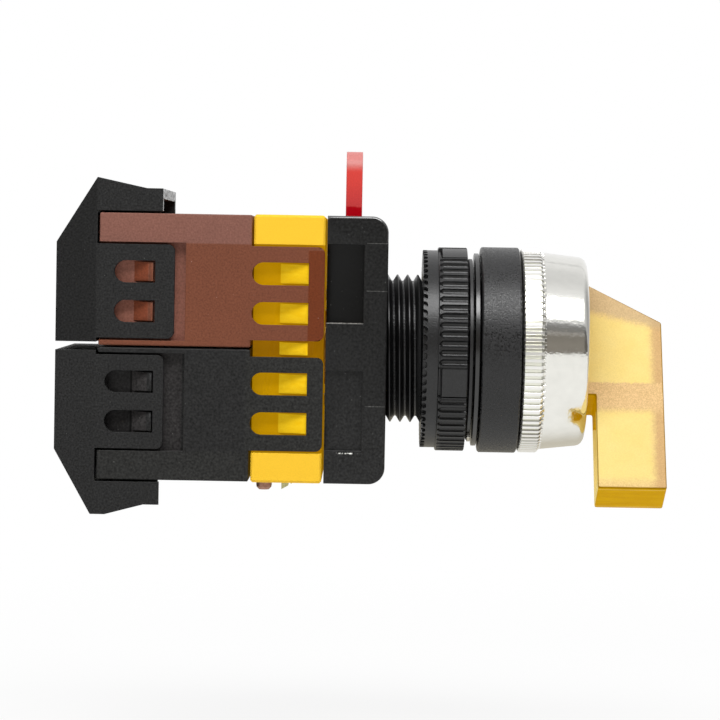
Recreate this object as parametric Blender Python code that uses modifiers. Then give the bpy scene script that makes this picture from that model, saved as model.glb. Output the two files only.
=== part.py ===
"""Illuminated selector switch for a 22 mm panel hole, with two contact blocks.

The switch lies along X and its handle points to +X. The origin is on its axis, in the plane
where the gasket meets the front of the panel. The lock lever is at +Z. Sizes are in metres.

The handle turns a hollow cam sleeve. The sleeve's rear edge is a face cam with two lobes,
which push the cam follower back. The follower's legs pass the lamp and press a plunger in
each contact block.
"""
import math

import bmesh
import bpy
from mathutils import Matrix, Vector

# Fits
GAP = 0.0003
SEGMENTS = 44
RING_SEGMENTS = 32
SMALL_SEGMENTS = 16
CORNER_STEPS = 5

# Switch width and height behind the panel
BODY_HALF_WIDTH = 0.0140
BODY_HALF_HEIGHT = 0.0194

# Panel fixing, M22 x 1.5. The thread itself is cosmetic, the barrel is at its root.
THREAD_RADIUS = 0.0110
THREAD_DEPTH = 0.00092
BARREL_RADIUS = THREAD_RADIUS - THREAD_DEPTH
BARREL_BORE = 0.0090
BARREL_LENGTH = 0.02135

# The chamber in the head, the spigot round it and the bezel round that set the outer radii
CHAMBER_LEDGE = 0.0023
SPIGOT_WALL = 0.0016
BEZEL_WALL = 0.0020
CHAMBER_RADIUS = BARREL_BORE + CHAMBER_LEDGE
SPIGOT_RADIUS = CHAMBER_RADIUS + SPIGOT_WALL
BEZEL_BORE = SPIGOT_RADIUS + GAP
KNURL_RADIUS = BEZEL_BORE + BEZEL_WALL

# Gasket and flange
FLANGE_PROUD = 0.0001
FLANGE_RADIUS = KNURL_RADIUS + FLANGE_PROUD
GASKET_THICKNESS = 0.00065
GASKET_INSET = 0.00095
GASKET_RADIUS = FLANGE_RADIUS - GASKET_INSET
FLANGE_REAR = GASKET_THICKNESS + GAP
FLANGE_THICKNESS = 0.0057
FLANGE_CHAMFER = 0.0002
FLANGE_FRONT = FLANGE_REAR + FLANGE_THICKNESS
BARREL_REAR = FLANGE_REAR - BARREL_LENGTH

# Bezel
BEZEL_REAR = FLANGE_FRONT + GAP
KNURL_LENGTH = 0.00285
KNURL_HEIGHT = 0.00054
DOME_REAR_RADIUS = KNURL_RADIUS - KNURL_HEIGHT
DOME_CHAMFER = 0.0004
DOME_LENGTH = 0.0053
DOME_TAPER = 0.00092
DOME_FRONT_RADIUS = DOME_REAR_RADIUS - DOME_TAPER
LIP_ROUND = 0.0011
LIP_WIDTH = 0.0022
BEZEL_OPENING = BEZEL_BORE - LIP_WIDTH
LIP_THICKNESS = 0.0018
KNURL_FRONT = BEZEL_REAR + KNURL_LENGTH
DOME_REAR = KNURL_FRONT + DOME_CHAMFER
DOME_FRONT = DOME_REAR + DOME_LENGTH
BEZEL_FRONT = DOME_FRONT + LIP_ROUND
LIP_REAR = BEZEL_FRONT - LIP_THICKNESS

# Lengths of the spigot in front of the flange and of the chamber inside it
SPIGOT_LENGTH = 0.00585
SPIGOT_FRONT = FLANGE_FRONT + SPIGOT_LENGTH
CHAMBER_DEPTH = 0.0070
CHAMBER_REAR = SPIGOT_FRONT - CHAMBER_DEPTH

# Handle
HANDLE_ANGLE = math.radians(-30)
HANDLE_TRAVEL = math.radians(60)
HANDLE_THICKNESS = 0.0070
HANDLE_FRONT = 0.0280
HANDLE_TIP = 0.0241
HANDLE_HEEL = 0.0102
HANDLE_HEEL_FRONT = 0.0033
HANDLE_ROOT = 0.0090
HANDLE_UNDERSIDE = 0.0180
HANDLE_TIP_WALL = 0.0014
HANDLE_HEEL_WALL = 0.0028
HANDLE_SIDE_WALL = 0.0007
HANDLE_FACE_WALL = 0.0016
HANDLE_EDGE = 0.0002
CROSS_WALL_REAR = 0.0070
CROSS_WALL_FRONT = 0.0116
BASE_SHOULDER = 0.0004
BASE_LEDGE = 0.0010
BASE_RECESS = 0.0003
BASE_RADIUS = BEZEL_OPENING - GAP
SHOULDER_RADIUS = BASE_RADIUS + BASE_LEDGE
BASE_REAR = SPIGOT_FRONT + GAP
SHOULDER_FRONT = LIP_REAR - GAP
BASE_FRONT = BEZEL_FRONT - BASE_RECESS

# Cam sleeve and its travel
SLEEVE_WALL = 0.0016
SLEEVE_CLEARANCE = 0.0004
SLEEVE_RADIUS = BARREL_BORE - SLEEVE_CLEARANCE
SLEEVE_BORE = SLEEVE_RADIUS - SLEEVE_WALL
SLEEVE_FRONT = SPIGOT_FRONT
KEY_TAB_WIDTH = 0.0030
KEY_TAB_HEIGHT = 0.0015
CAM_INSET = 0.0084
CAM_REST = BARREL_REAR + CAM_INSET
CAM_STROKE = 0.0025
CAM_SLOPE = CAM_STROKE / HANDLE_TRAVEL
CAM_MARGIN = math.radians(10)
CAM_STEPS = 60

# Collar on the sleeve with its stop lug, and what is stacked behind it in the chamber
COLLAR_THICKNESS = 0.0015
COLLAR_SETBACK = 0.0015
INDEX_WALL = 0.0011
LUG_HALF_ANGLE = math.radians(18)
STOP_CLEARANCE = math.radians(3)
INDEX_RADIUS = CHAMBER_RADIUS - GAP
INDEX_BORE = INDEX_RADIUS - INDEX_WALL
COLLAR_RADIUS = INDEX_BORE - GAP
COLLAR_FRONT = SLEEVE_FRONT - COLLAR_SETBACK
COLLAR_REAR = COLLAR_FRONT - COLLAR_THICKNESS
WASHER_THICKNESS = 0.0014
WASHER_FRONT = COLLAR_REAR - GAP
WASHER_REAR = WASHER_FRONT - WASHER_THICKNESS
SEAL_FRONT = WASHER_REAR - GAP
SEAL_REAR = CHAMBER_REAR + GAP
SEAL_SIDES = 6
RING_BORE = SLEEVE_RADIUS + GAP

# Cam follower, a ring with a nose for each lobe and a leg for each contact block
FOLLOWER_RING = 0.0020
FOLLOWER_RADIUS = BARREL_BORE - GAP
LEG_HALF_WIDTH = 0.0016
LEG_INNER = SLEEVE_BORE
LEG_OUTER = SLEEVE_RADIUS
LEG_AXIS = (LEG_INNER + LEG_OUTER) / 2
NOSE_RADIUS = 0.0010
CAM_REACH = CAM_SLOPE * (HANDLE_TRAVEL + CAM_MARGIN)
NOSE_FRONT = CAM_REST - GAP
FOLLOWER_FRONT = CAM_REST - CAM_REACH - GAP
FOLLOWER_REAR = FOLLOWER_FRONT - FOLLOWER_RING

# Spacer ring, locating key and panel nut
SPACER_INSET = 0.0018
SPACER_RADIUS = FLANGE_RADIUS - SPACER_INSET
SPACER_THICKNESS = 0.0005
SPACER_REAR = -GAP - SPACER_THICKNESS
LOCATING_KEY_ANGLE = math.radians(22)
LOCATING_KEY_WIDTH = 0.0019
LOCATING_KEY_LENGTH = 0.0007
LOCATING_KEY_OUTER = SPACER_RADIUS + LOCATING_KEY_LENGTH
NUT_LENGTH = 0.0065
NUT_INSET = 0.00015
NUT_RADIUS = FLANGE_RADIUS - NUT_INSET
NUT_STEP_HEIGHT = 0.00045
NUT_COLLAR_RADIUS = NUT_RADIUS - NUT_STEP_HEIGHT
NUT_COLLAR_LENGTH = 0.0022
NUT_PADS = 4
NUT_PAD_ANGLE = math.radians(18)
NUT_FIRST_PAD = math.radians(197.3)
FLUTES_PER_SECTOR = 14
FLUTE_DEPTH = 0.0005
FLUTE_WIDTH = 0.00075
NUT_FRONT = SPACER_REAR - GAP
NUT_REAR = NUT_FRONT - NUT_LENGTH
NUT_STEP = NUT_REAR + NUT_COLLAR_LENGTH
NUT_BORE = BARREL_RADIUS + GAP
NUT_SEGMENTS = 60

# Adaptor behind the panel
ADAPTOR_DEPTH = 0.00885
ADAPTOR_CORNER = 0.0024
ADAPTOR_OVERHANG = 0.0013
ADAPTOR_REAR = BARREL_REAR - ADAPTOR_OVERHANG
ADAPTOR_FRONT = ADAPTOR_REAR + ADAPTOR_DEPTH
ADAPTOR_BORE = BARREL_RADIUS + GAP
BAYONET_RADIUS = 0.0109
BAYONET_HALF_WIDTH = 0.0019
BAYONET_LENGTH = 0.0009
BAYONET_CLEAR = math.hypot(BAYONET_RADIUS, BAYONET_HALF_WIDTH) + GAP
LOCK_RING_THICKNESS = 0.0024
LOCK_RING_RADIUS = 0.0123
LOCK_RING_REAR = BARREL_REAR + BAYONET_LENGTH + GAP
LOCK_RING_FRONT = LOCK_RING_REAR + LOCK_RING_THICKNESS
LOCK_TRAVEL = math.radians(22)
LOCK_CAVITY_RADIUS = LOCK_RING_RADIUS + GAP
LEVER_HALF_WIDTH = 0.0036
LEVER_TOP = 0.0291
LEVER_ROUND = 0.0029
RETAINER_THICKNESS = 0.0014
RETAINER_FRONT = LOCK_RING_REAR - GAP
SIDE_POCKET_DEPTH = 0.0015
SIDE_POCKET_LENGTH = 0.0054
UPPER_POCKET_BOTTOM = 0.0038
UPPER_POCKET_TOP = 0.0153
LOWER_POCKET_BOTTOM = -0.0146
LOWER_POCKET_TOP = -0.0030
LOWER_POCKET_DEPTH = 0.0006

# Lamp block
LAMP_BLOCK_FRONT = ADAPTOR_REAR - GAP
LAMP_BLOCK_LENGTH = 0.0103
LAMP_BLOCK_EDGE = 0.0003
LAMP_BLOCK_REAR = LAMP_BLOCK_FRONT - LAMP_BLOCK_LENGTH
WING_THICKNESS = 0.0013
WING_TOP = 0.0148
WING_BOTTOM = 0.0012
WING_CORNER = 0.0010
WING_RECESS = BODY_HALF_WIDTH - WING_THICKNESS - GAP
HOOK_HEIGHT = 0.0012
HOOK_CREST = 0.0004
HOOK_HALF_WIDTH = 0.0014
MIDDLE_HOOK_HALF_WIDTH = 0.0009
INNER_ROW = 0.0051
OUTER_ROW = 0.01085
HOOK_ROWS = (INNER_ROW, OUTER_ROW)
SOCKET_RADIUS = 0.0056
SOCKET_WALL = 0.0006
SOCKET_LENGTH = 0.0170
SOCKET_INSET = 0.0013
SOCKET_BORE = SOCKET_RADIUS - SOCKET_WALL
SOCKET_REAR = LAMP_BLOCK_REAR + SOCKET_INSET
SOCKET_FRONT = SOCKET_REAR + SOCKET_LENGTH
CENTRE_CONTACT_LENGTH = 0.0087
CENTRE_PIN_RADIUS = 0.0015
CENTRE_DISC_THICKNESS = 0.0010
LAMP_RADIUS = SOCKET_BORE - GAP
LAMP_REAR = SOCKET_REAR + CENTRE_CONTACT_LENGTH + GAP
LAMP_LENGTH = 0.0310
LAMP_TERMINAL_LEAD = 0.0015
LAMP_SCREW_LENGTH = 0.0050
TERMINAL_SCREW_RADIUS = 0.00115
TERMINAL_SCREW_CHAMFER = 0.0004
LAMP_SCREW_Y = 0.0070
NEAR_SCREW_INSET = 0.0018
FAR_SCREW_INSET = 0.0027
LAMP_SCREWS = ((LAMP_BLOCK_REAR + NEAR_SCREW_INSET, -LAMP_SCREW_Y),
               (LAMP_BLOCK_REAR + FAR_SCREW_INSET, LAMP_SCREW_Y))
LAMP_TERMINAL_Y = 0.0050
NEAR_TERMINAL_INSET = 0.00485
FAR_TERMINAL_INSET = 0.00595
LAMP_TERMINALS = ((LAMP_BLOCK_REAR + NEAR_TERMINAL_INSET, -LAMP_TERMINAL_Y),
                  (LAMP_BLOCK_REAR + FAR_TERMINAL_INSET, LAMP_TERMINAL_Y))
LAMP_TERMINAL_THICKNESS = 0.0010
LAMP_TERMINAL_HALF_WIDTH = 0.0015

# Contact blocks
BLOCK_HALF_GAP = 0.00015
BLOCK_TOP = 0.0193
BLOCK_LENGTH = 0.0220
BLOCK_EDGE = 0.00015
BLOCK_FRONT = LAMP_BLOCK_REAR - GAP
BLOCK_REAR = BLOCK_FRONT - BLOCK_LENGTH
BLOCK_FRONT_WALL = 0.0015
WING_FRONT = LAMP_BLOCK_FRONT
WING_TIP_LENGTH = 0.0023
WING_WINDOW_FRONT = WING_FRONT - WING_TIP_LENGTH
WING_WINDOW_LENGTH = 0.0082
WING_WINDOW_HEIGHT = 0.0033
HOOK_LENGTH = 0.0042
CAP_POCKET_LENGTH = 0.0125
CAP_WING_THICKNESS = 0.0012
CAP_POCKET_FLOOR = BODY_HALF_WIDTH - CAP_WING_THICKNESS - GAP
CAP_HOOK_FRONT = 0.0078
CAP_HOOK_LENGTH = 0.0029
CHAMBER_HALF_WIDTH = 0.0108
CHAMBER_LENGTH = 0.0129
DECK_THICKNESS = 0.0020
CONTACT_CHAMBER_FRONT = BLOCK_FRONT - BLOCK_FRONT_WALL
CONTACT_CHAMBER_REAR = CONTACT_CHAMBER_FRONT - CHAMBER_LENGTH
TERMINAL_FLOOR = CONTACT_CHAMBER_REAR - DECK_THICKNESS

# Plunger, bridge and spring
BUTTON_HEIGHT = 0.0011
PLUNGER_FRONT = BLOCK_FRONT + BUTTON_HEIGHT
CARRIER_HALF_WIDTH = 0.0030
CARRIER_HALF_HEIGHT = 0.0025
CARRIER_FRONT = CONTACT_CHAMBER_FRONT - GAP
CARRIER_LENGTH = 0.0089
CARRIER_REAR = CARRIER_FRONT - CARRIER_LENGTH
BRIDGE_THICKNESS = 0.0008
BRIDGE_HALF_HEIGHT = 0.0010
BRIDGE_HALF_LENGTH = 0.0092
BRIDGE_SETBACK = 0.0040
BRIDGE_X = CARRIER_FRONT - BRIDGE_SETBACK
SPRING_RADIUS = 0.0020
SPRING_WIRE = 0.00025
SPRING_TURNS = 5
SPRING_POINTS_PER_TURN = 10
SPRING_LENGTH = 0.0076
SPRING_FRONT = CARRIER_REAR - GAP
SPRING_REAR = SPRING_FRONT - SPRING_LENGTH

# Terminals of the contact blocks
TERMINAL_Y = 0.0078
TERMINAL_Z = 0.0117
STRIP_THICKNESS = 0.0008
STRIP_HALF_WIDTH = 0.0026
STRIP_CLEAR = 0.0004
CLAMP_THICKNESS = 0.0008
CLAMP_HALF_SIZE = 0.0026
SCREW_HEAD_RADIUS = 0.0024
SCREW_HEAD_HEIGHT = 0.0019
SCREW_RADIUS = 0.0014
SCREW_LENGTH = 0.0060
RIB_HALF_WIDTH = 0.0046
TERMINAL_HALF_WIDTH = 0.0110
STRIP_OUTER = BRIDGE_HALF_LENGTH + STRIP_CLEAR + STRIP_THICKNESS
PLATE_FRONT = TERMINAL_FLOOR - GAP
PLATE_REAR = PLATE_FRONT - STRIP_THICKNESS
CLAMP_FRONT = PLATE_REAR - GAP
HEAD_FRONT = CLAMP_FRONT - CLAMP_THICKNESS - GAP

# Terminal caps
CAP_REAR_DEPTH = 0.0059
CAP_WALL = 0.0015
CAP_BOTTOM = 0.0006
CAP_SHOULDER = 0.0150
CAP_PEAK = 0.0244
CAP_PEAK_SETBACK = 0.0001
CAP_FLAT = 0.0229
CAP_FLAT_START = 0.0071
HOOD_LENGTH = 0.0094
CAP_BASE = BLOCK_REAR - GAP
CAP_REAR = CAP_BASE - CAP_REAR_DEPTH
HOOD_FRONT = CAP_BASE + HOOD_LENGTH
HOOD_BOTTOM = BLOCK_TOP + GAP
SCREWDRIVER_RADIUS = 0.0030
CAP_WINDOW_HEIGHT = 0.0032
BROWN_CAP_WING = 0.0112
BROWN_CAP_WINDOW_REAR = 0.0025
BROWN_CAP_WINDOW_FRONT = 0.0084
BLACK_CAP_WING = 0.0098
BLACK_CAP_WINDOW_REAR = 0.0013
BLACK_CAP_WINDOW_FRONT = 0.0083

# Looks as colour, roughness and metal
BLACK = ((0.030, 0.030, 0.030), 0.45, 0.0)
DARK_GREY = ((0.036, 0.035, 0.034), 0.55, 0.0)
BROWN = ((0.22, 0.085, 0.060), 0.50, 0.0)
YELLOW = ((1.00, 0.52, 0.050), 0.35, 0.0)
AMBER = ((0.90, 0.62, 0.10), 0.40, 0.0)
RED = ((0.55, 0.010, 0.012), 0.35, 0.0)
NYLON = ((0.75, 0.74, 0.70), 0.50, 0.0)
RUBBER = ((0.020, 0.020, 0.020), 0.75, 0.0)
CHROME = ((0.90, 0.90, 0.90), 0.10, 1.0)
STEEL = ((0.60, 0.60, 0.60), 0.30, 1.0)
BRASS = ((0.75, 0.55, 0.25), 0.30, 1.0)
BRONZE = ((0.40, 0.22, 0.16), 0.35, 1.0)
SILVER = ((0.62, 0.60, 0.45), 0.30, 1.0)
GLASS = ((0.95, 0.90, 0.75), 0.15, 0.0)

# The brown block opens when pressed: its fixed contacts stand in front of the bridge. The black
# block closes: its contacts stand a stroke behind the bridge. Cap places count from the cap's base.
BLOCKS = (
    {"name": "brown", "sign": 1, "look": BROWN,
     "contact_x": BRIDGE_X + BRIDGE_THICKNESS / 2 + GAP,
     "wing_length": BROWN_CAP_WING, "window": (BROWN_CAP_WINDOW_REAR, BROWN_CAP_WINDOW_FRONT)},
    {"name": "black", "sign": -1, "look": DARK_GREY,
     "contact_x": BRIDGE_X - BRIDGE_THICKNESS / 2 - CAM_STROKE - GAP - STRIP_THICKNESS,
     "wing_length": BLACK_CAP_WING, "window": (BLACK_CAP_WINDOW_REAR, BLACK_CAP_WINDOW_FRONT)},
)

PLANES = {
    "X": Matrix(((0, 0, 1, 0), (1, 0, 0, 0), (0, 1, 0, 0), (0, 0, 0, 1))),
    "Y": Matrix(((1, 0, 0, 0), (0, 0, -1, 0), (0, 1, 0, 0), (0, 0, 0, 1))),
    "Z": Matrix.Identity(4),
}


def clear_scene():
    for obj in list(bpy.data.objects):
        bpy.data.objects.remove(obj, do_unlink=True)


def new_collection(name):
    collection = bpy.data.collections.new(name)
    bpy.context.scene.collection.children.link(collection)
    return collection


def place(mesh, name, matrix=None):
    """Make an object of a mesh and put it in the switch's collection."""
    obj = bpy.data.objects.new(name, mesh)
    if matrix is not None:
        obj.matrix_world = matrix
    SWITCH.objects.link(obj)
    return obj


def block(name, x, y, z):
    """A box between two limits on each axis."""
    size = [abs(high - low) for low, high in (x, y, z)]
    centre = [(low + high) / 2 for low, high in (x, y, z)]
    shape = bmesh.new()
    bmesh.ops.create_cube(shape, size=1, matrix=Matrix.Diagonal((*size, 1)))
    mesh = bpy.data.meshes.new(name)
    shape.to_mesh(mesh)
    shape.free()
    return place(mesh, name, Matrix.Translation(centre))


def prism(name, axis, outlines, low, high):
    """Extrude a flat outline, with any holes after it, along an axis from low to high."""
    curve = bpy.data.curves.new(name, "CURVE")
    curve.dimensions = "2D"
    curve.fill_mode = "BOTH"
    curve.extrude = abs(high - low) / 2
    for outline in outlines:
        spline = curve.splines.new("POLY")
        spline.points.add(len(outline) - 1)
        for point, (u, v) in zip(spline.points, outline):
            point.co = (u, v, 0, 1)
        spline.use_cyclic_u = True
    guide = bpy.data.objects.new(name, curve)
    SWITCH.objects.link(guide)
    middle = Vector([(low + high) / 2 if letter == axis else 0 for letter in "XYZ"])
    guide.matrix_world = Matrix.Translation(middle) @ PLANES[axis]
    return to_mesh(guide)


def to_mesh(guide):
    """Turn a curve object into a closed mesh object in the same place."""
    bpy.context.view_layer.update()
    name = guide.name
    mesh = bpy.data.meshes.new_from_object(guide.evaluated_get(bpy.context.evaluated_depsgraph_get()))
    shape = bmesh.new()
    shape.from_mesh(mesh)
    bmesh.ops.remove_doubles(shape, verts=shape.verts, dist=1e-6)
    bmesh.ops.recalc_face_normals(shape, faces=shape.faces)
    shape.to_mesh(mesh)
    shape.free()
    matrix = guide.matrix_world.copy()
    bpy.data.objects.remove(guide, do_unlink=True)
    return place(mesh, name, matrix)


def turned(name, profile, segments=SEGMENTS, closed=True):
    """Revolve (radius, x) points about the X axis, given from the front down the outer side."""
    count = len(profile)
    edges = [(index, index + 1) for index in range(count - 1)]
    if closed:
        edges.append((count - 1, 0))
    mesh = bpy.data.meshes.new(name)
    mesh.from_pydata([(radius, 0, x) for radius, x in profile], edges, [])
    obj = place(mesh, name, Matrix.Rotation(math.pi / 2, 4, "Y"))
    screw = obj.modifiers.new("Turn", "SCREW")
    screw.steps = segments
    screw.render_steps = segments
    screw.use_merge_vertices = True
    screw.merge_threshold = 0.000001
    screw.use_smooth_shade = False
    return obj


def ring(name, outer, inner, front, rear, segments=SEGMENTS):
    return turned(name, [(outer, front), (outer, rear), (inner, rear), (inner, front)], segments)


def rod(name, radius, front, rear, y=0.0, z=0.0, segments=SMALL_SEGMENTS):
    """A plain round bar along X."""
    shape = bmesh.new()
    bmesh.ops.create_cone(shape, cap_ends=True, segments=segments, radius1=radius, radius2=radius,
                          depth=abs(front - rear))
    mesh = bpy.data.meshes.new(name)
    shape.to_mesh(mesh)
    shape.free()
    matrix = Matrix.Translation(((front + rear) / 2, y, z)) @ Matrix.Rotation(math.pi / 2, 4, "Y")
    return place(mesh, name, matrix)


def retire(tool):
    """Move a shape that only cuts or extends another one to the cutters."""
    SWITCH.objects.unlink(tool)
    CUTTERS.objects.link(tool)
    tool.hide_render = True
    tool.display_type = "WIRE"


def combine(target, tools, operation):
    for tool in tools:
        boolean = target.modifiers.new(tool.name, "BOOLEAN")
        boolean.operation = operation
        boolean.solver = "EXACT"
        boolean.object = tool
        retire(tool)
    return target


def cut(target, *tools):
    return combine(target, tools, "DIFFERENCE")


def extend(target, *tools):
    return combine(target, tools, "UNION")


def soften(target, width, segments=1):
    """Chamfer or round the sharp edges of a shape before it is cut."""
    bevel = target.modifiers.new("Edges", "BEVEL")
    bevel.width = width
    bevel.segments = segments
    bevel.limit_method = "ANGLE"
    bevel.angle_limit = math.radians(40)
    return target


def arc(centre, radius, start, end, steps):
    """Points along an arc, both ends included."""
    points = []
    for index in range(steps + 1):
        angle = start + (end - start) * index / steps
        points.append((centre[0] + radius * math.cos(angle), centre[1] + radius * math.sin(angle)))
    return points


def inset(chain, wall):
    """Move a chain of wall corners in by the wall's thickness. The inside is on its right."""
    corners = [Vector(corner) for corner in chain]
    sides = [(after - before).normalized() for before, after in zip(corners, corners[1:])]
    normals = [Vector((side.y, -side.x)) for side in sides]
    moved = [corners[0] + normals[0] * wall]
    for corner, before, after in zip(corners[1:], normals, normals[1:]):
        moved.append(corner + (before + after) * wall / (1 + before.dot(after)))
    moved.append(corners[-1] + normals[-1] * wall)
    return [tuple(corner) for corner in moved]


def mirrored(points, sign):
    """The same outline above or below the axis."""
    return [(x, sign * z) for x, z in points]


def finish(obj, look):
    """Give a finished piece its own material and smooth round faces."""
    colour, roughness, metallic = look
    material = bpy.data.materials.new(obj.name)
    material.use_nodes = True
    shader = material.node_tree.nodes["Principled BSDF"]
    shader.inputs["Base Color"].default_value = (*colour, 1)
    shader.inputs["Roughness"].default_value = roughness
    shader.inputs["Metallic"].default_value = metallic
    obj.data.materials.append(material)
    obj.data.shade_smooth()
    obj.data.set_sharp_from_angle(angle=math.radians(35))
    return obj


def axis_empty(name, location):
    empty = bpy.data.objects.new(name, None)
    empty.location = location
    empty.empty_display_size = FLANGE_THICKNESS
    SWITCH.objects.link(empty)
    return empty


def carry(empty, *pieces):
    """Parent moving pieces to the empty on their joint's axis, where they are."""
    bpy.context.view_layer.update()
    for piece in pieces:
        piece.parent = empty
        piece.matrix_parent_inverse = empty.matrix_world.inverted()


# Head

def make_head_body():
    profile = [
        (SPIGOT_RADIUS, SPIGOT_FRONT),
        (SPIGOT_RADIUS, FLANGE_FRONT),
        (FLANGE_RADIUS - FLANGE_CHAMFER, FLANGE_FRONT),
        (FLANGE_RADIUS, FLANGE_FRONT - FLANGE_CHAMFER),
        (FLANGE_RADIUS, FLANGE_REAR + FLANGE_CHAMFER),
        (FLANGE_RADIUS - FLANGE_CHAMFER, FLANGE_REAR),
        (BARREL_RADIUS, FLANGE_REAR),
        (BARREL_RADIUS, BARREL_REAR),
        (BARREL_BORE, BARREL_REAR),
        (BARREL_BORE, CHAMBER_REAR),
        (CHAMBER_RADIUS, CHAMBER_REAR),
        (CHAMBER_RADIUS, SPIGOT_FRONT),
    ]
    body = turned("head_body", profile)
    for sign, side in ((1, "top"), (-1, "bottom")):
        lug = block("bayonet_" + side, (BARREL_REAR, BARREL_REAR + BAYONET_LENGTH),
                    (-BAYONET_HALF_WIDTH, BAYONET_HALF_WIDTH),
                    sorted((sign * (BARREL_BORE + GAP), sign * BAYONET_RADIUS)))
        extend(body, lug)
    return finish(body, BLACK)


def make_bezel():
    lip = arc((DOME_FRONT_RADIUS - LIP_ROUND, DOME_FRONT), LIP_ROUND, math.pi / 2, 0, CORNER_STEPS)
    profile = [(BEZEL_OPENING, LIP_REAR), (BEZEL_OPENING, BEZEL_FRONT - BASE_RECESS),
               (BEZEL_OPENING + BASE_RECESS, BEZEL_FRONT)]
    profile += lip
    profile += [
        (DOME_REAR_RADIUS, DOME_REAR),
        (KNURL_RADIUS, KNURL_FRONT),
        (KNURL_RADIUS, BEZEL_REAR),
        (BEZEL_BORE, BEZEL_REAR),
        (BEZEL_BORE, BASE_REAR),
        (SHOULDER_RADIUS + GAP, LIP_REAR),
    ]
    return finish(turned("bezel", profile), CHROME)


def make_handle():
    """Lever and round base in one moulding, hollow towards the lamp and under its beak."""
    outline = [
        (BASE_FRONT - BASE_SHOULDER, HANDLE_HEEL),
        (HANDLE_FRONT, HANDLE_HEEL_FRONT),
        (HANDLE_FRONT, -HANDLE_TIP),
        (HANDLE_UNDERSIDE, -HANDLE_TIP),
        (HANDLE_UNDERSIDE, -HANDLE_ROOT),
        (BASE_FRONT - BASE_SHOULDER, -HANDLE_ROOT),
    ]
    half = HANDLE_THICKNESS / 2
    lever = prism("lever_handle", "Y", [outline], -half, half)
    soften(lever, HANDLE_EDGE)
    base_profile = [
        (0, BASE_FRONT), (BASE_RADIUS, BASE_FRONT), (BASE_RADIUS, SHOULDER_FRONT),
        (SHOULDER_RADIUS, SHOULDER_FRONT), (SHOULDER_RADIUS, BASE_REAR), (0, BASE_REAR),
    ]
    base = turned("handle_base", base_profile, closed=False)
    slope = (HANDLE_HEEL - HANDLE_HEEL_FRONT) / (HANDLE_FRONT - BASE_FRONT)
    inner_front = HANDLE_FRONT - HANDLE_FACE_WALL
    inner_half = half - HANDLE_SIDE_WALL
    heel_wall = HANDLE_HEEL_WALL * math.hypot(1, slope)
    light_well = [
        (BASE_REAR - GAP, SLEEVE_BORE),
        (BASE_FRONT, HANDLE_HEEL - heel_wall),
        (inner_front, HANDLE_HEEL_FRONT + slope * HANDLE_FACE_WALL - heel_wall),
        (inner_front, -CROSS_WALL_REAR),
        (BASE_REAR - GAP, -CROSS_WALL_REAR),
    ]
    well = prism("light_well", "Y", [light_well], -inner_half, inner_half)
    beak = block("beak_hollow", (HANDLE_UNDERSIDE - GAP, inner_front), (-inner_half, inner_half),
                 (-HANDLE_TIP + HANDLE_TIP_WALL, -CROSS_WALL_FRONT))
    slot = block("key_slot", (BASE_REAR - GAP, SLEEVE_FRONT + KEY_TAB_HEIGHT + GAP),
                 (-SLEEVE_RADIUS - GAP, SLEEVE_RADIUS + GAP),
                 (-KEY_TAB_WIDTH / 2 - GAP, KEY_TAB_WIDTH / 2 + GAP))
    extend(lever, base)
    cut(lever, well, beak, slot)
    for piece in (lever, base, well, beak, slot):
        piece.matrix_world = Matrix.Rotation(HANDLE_ANGLE, 4, "X") @ piece.matrix_world
    return finish(lever, AMBER)


def cam_edge(angle):
    """Rear edge of the sleeve at an angle from +Y: two rising ramps, half a turn apart."""
    half_turn = math.pi
    top = math.pi / 2
    ramp_start = top - HANDLE_TRAVEL - CAM_MARGIN
    ramp_end = top + CAM_MARGIN
    turn = (angle - ramp_start) % half_turn
    ramp = ramp_end - ramp_start
    high = CAM_REST + CAM_SLOPE * CAM_MARGIN
    low = CAM_REST - CAM_REACH
    if turn <= ramp:
        return low + (high - low) * turn / ramp
    return high - (high - low) * (turn - ramp) / (half_turn - ramp)


def make_cam_sleeve():
    """Hollow spindle: a turned tube whose rear rim is moved onto the cam's curve."""
    rear = CAM_REST
    sleeve = ring("cam_sleeve", SLEEVE_RADIUS, SLEEVE_BORE, SLEEVE_FRONT, rear, CAM_STEPS)
    bpy.context.view_layer.update()
    tube = bpy.data.meshes.new_from_object(
        sleeve.evaluated_get(bpy.context.evaluated_depsgraph_get()))
    tube.transform(sleeve.matrix_world)
    for vertex in tube.vertices:
        if abs(vertex.co.x - rear) < GAP:
            vertex.co.x = cam_edge(math.atan2(vertex.co.z, vertex.co.y))
    bpy.data.objects.remove(sleeve, do_unlink=True)
    sleeve = place(tube, "cam_sleeve")
    collar = ring("sleeve_collar", COLLAR_RADIUS, SLEEVE_BORE + SLEEVE_WALL / 2,
                  COLLAR_FRONT, COLLAR_REAR, RING_SEGMENTS)
    lug_start = math.pi / 2 - LUG_HALF_ANGLE
    lug_end = math.pi / 2 + LUG_HALF_ANGLE
    lug_outline = arc((0, 0), INDEX_RADIUS, lug_start, lug_end, CORNER_STEPS)
    lug_outline += arc((0, 0), SLEEVE_BORE + SLEEVE_WALL / 2, lug_end, lug_start, CORNER_STEPS)
    lug = prism("stop_lug", "X", [lug_outline], COLLAR_REAR, COLLAR_FRONT)
    tabs = []
    for sign in (-1, 1):
        tab = block("key_tab", (SLEEVE_FRONT - GAP, SLEEVE_FRONT + KEY_TAB_HEIGHT),
                    sorted((sign * (SLEEVE_BORE + GAP), sign * (SLEEVE_RADIUS - GAP))),
                    (-KEY_TAB_WIDTH / 2, KEY_TAB_WIDTH / 2))
        tab.matrix_world = Matrix.Rotation(HANDLE_ANGLE, 4, "X") @ tab.matrix_world
        tabs.append(tab)
    extend(sleeve, collar, lug, *tabs)
    return finish(sleeve, NYLON)


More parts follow.
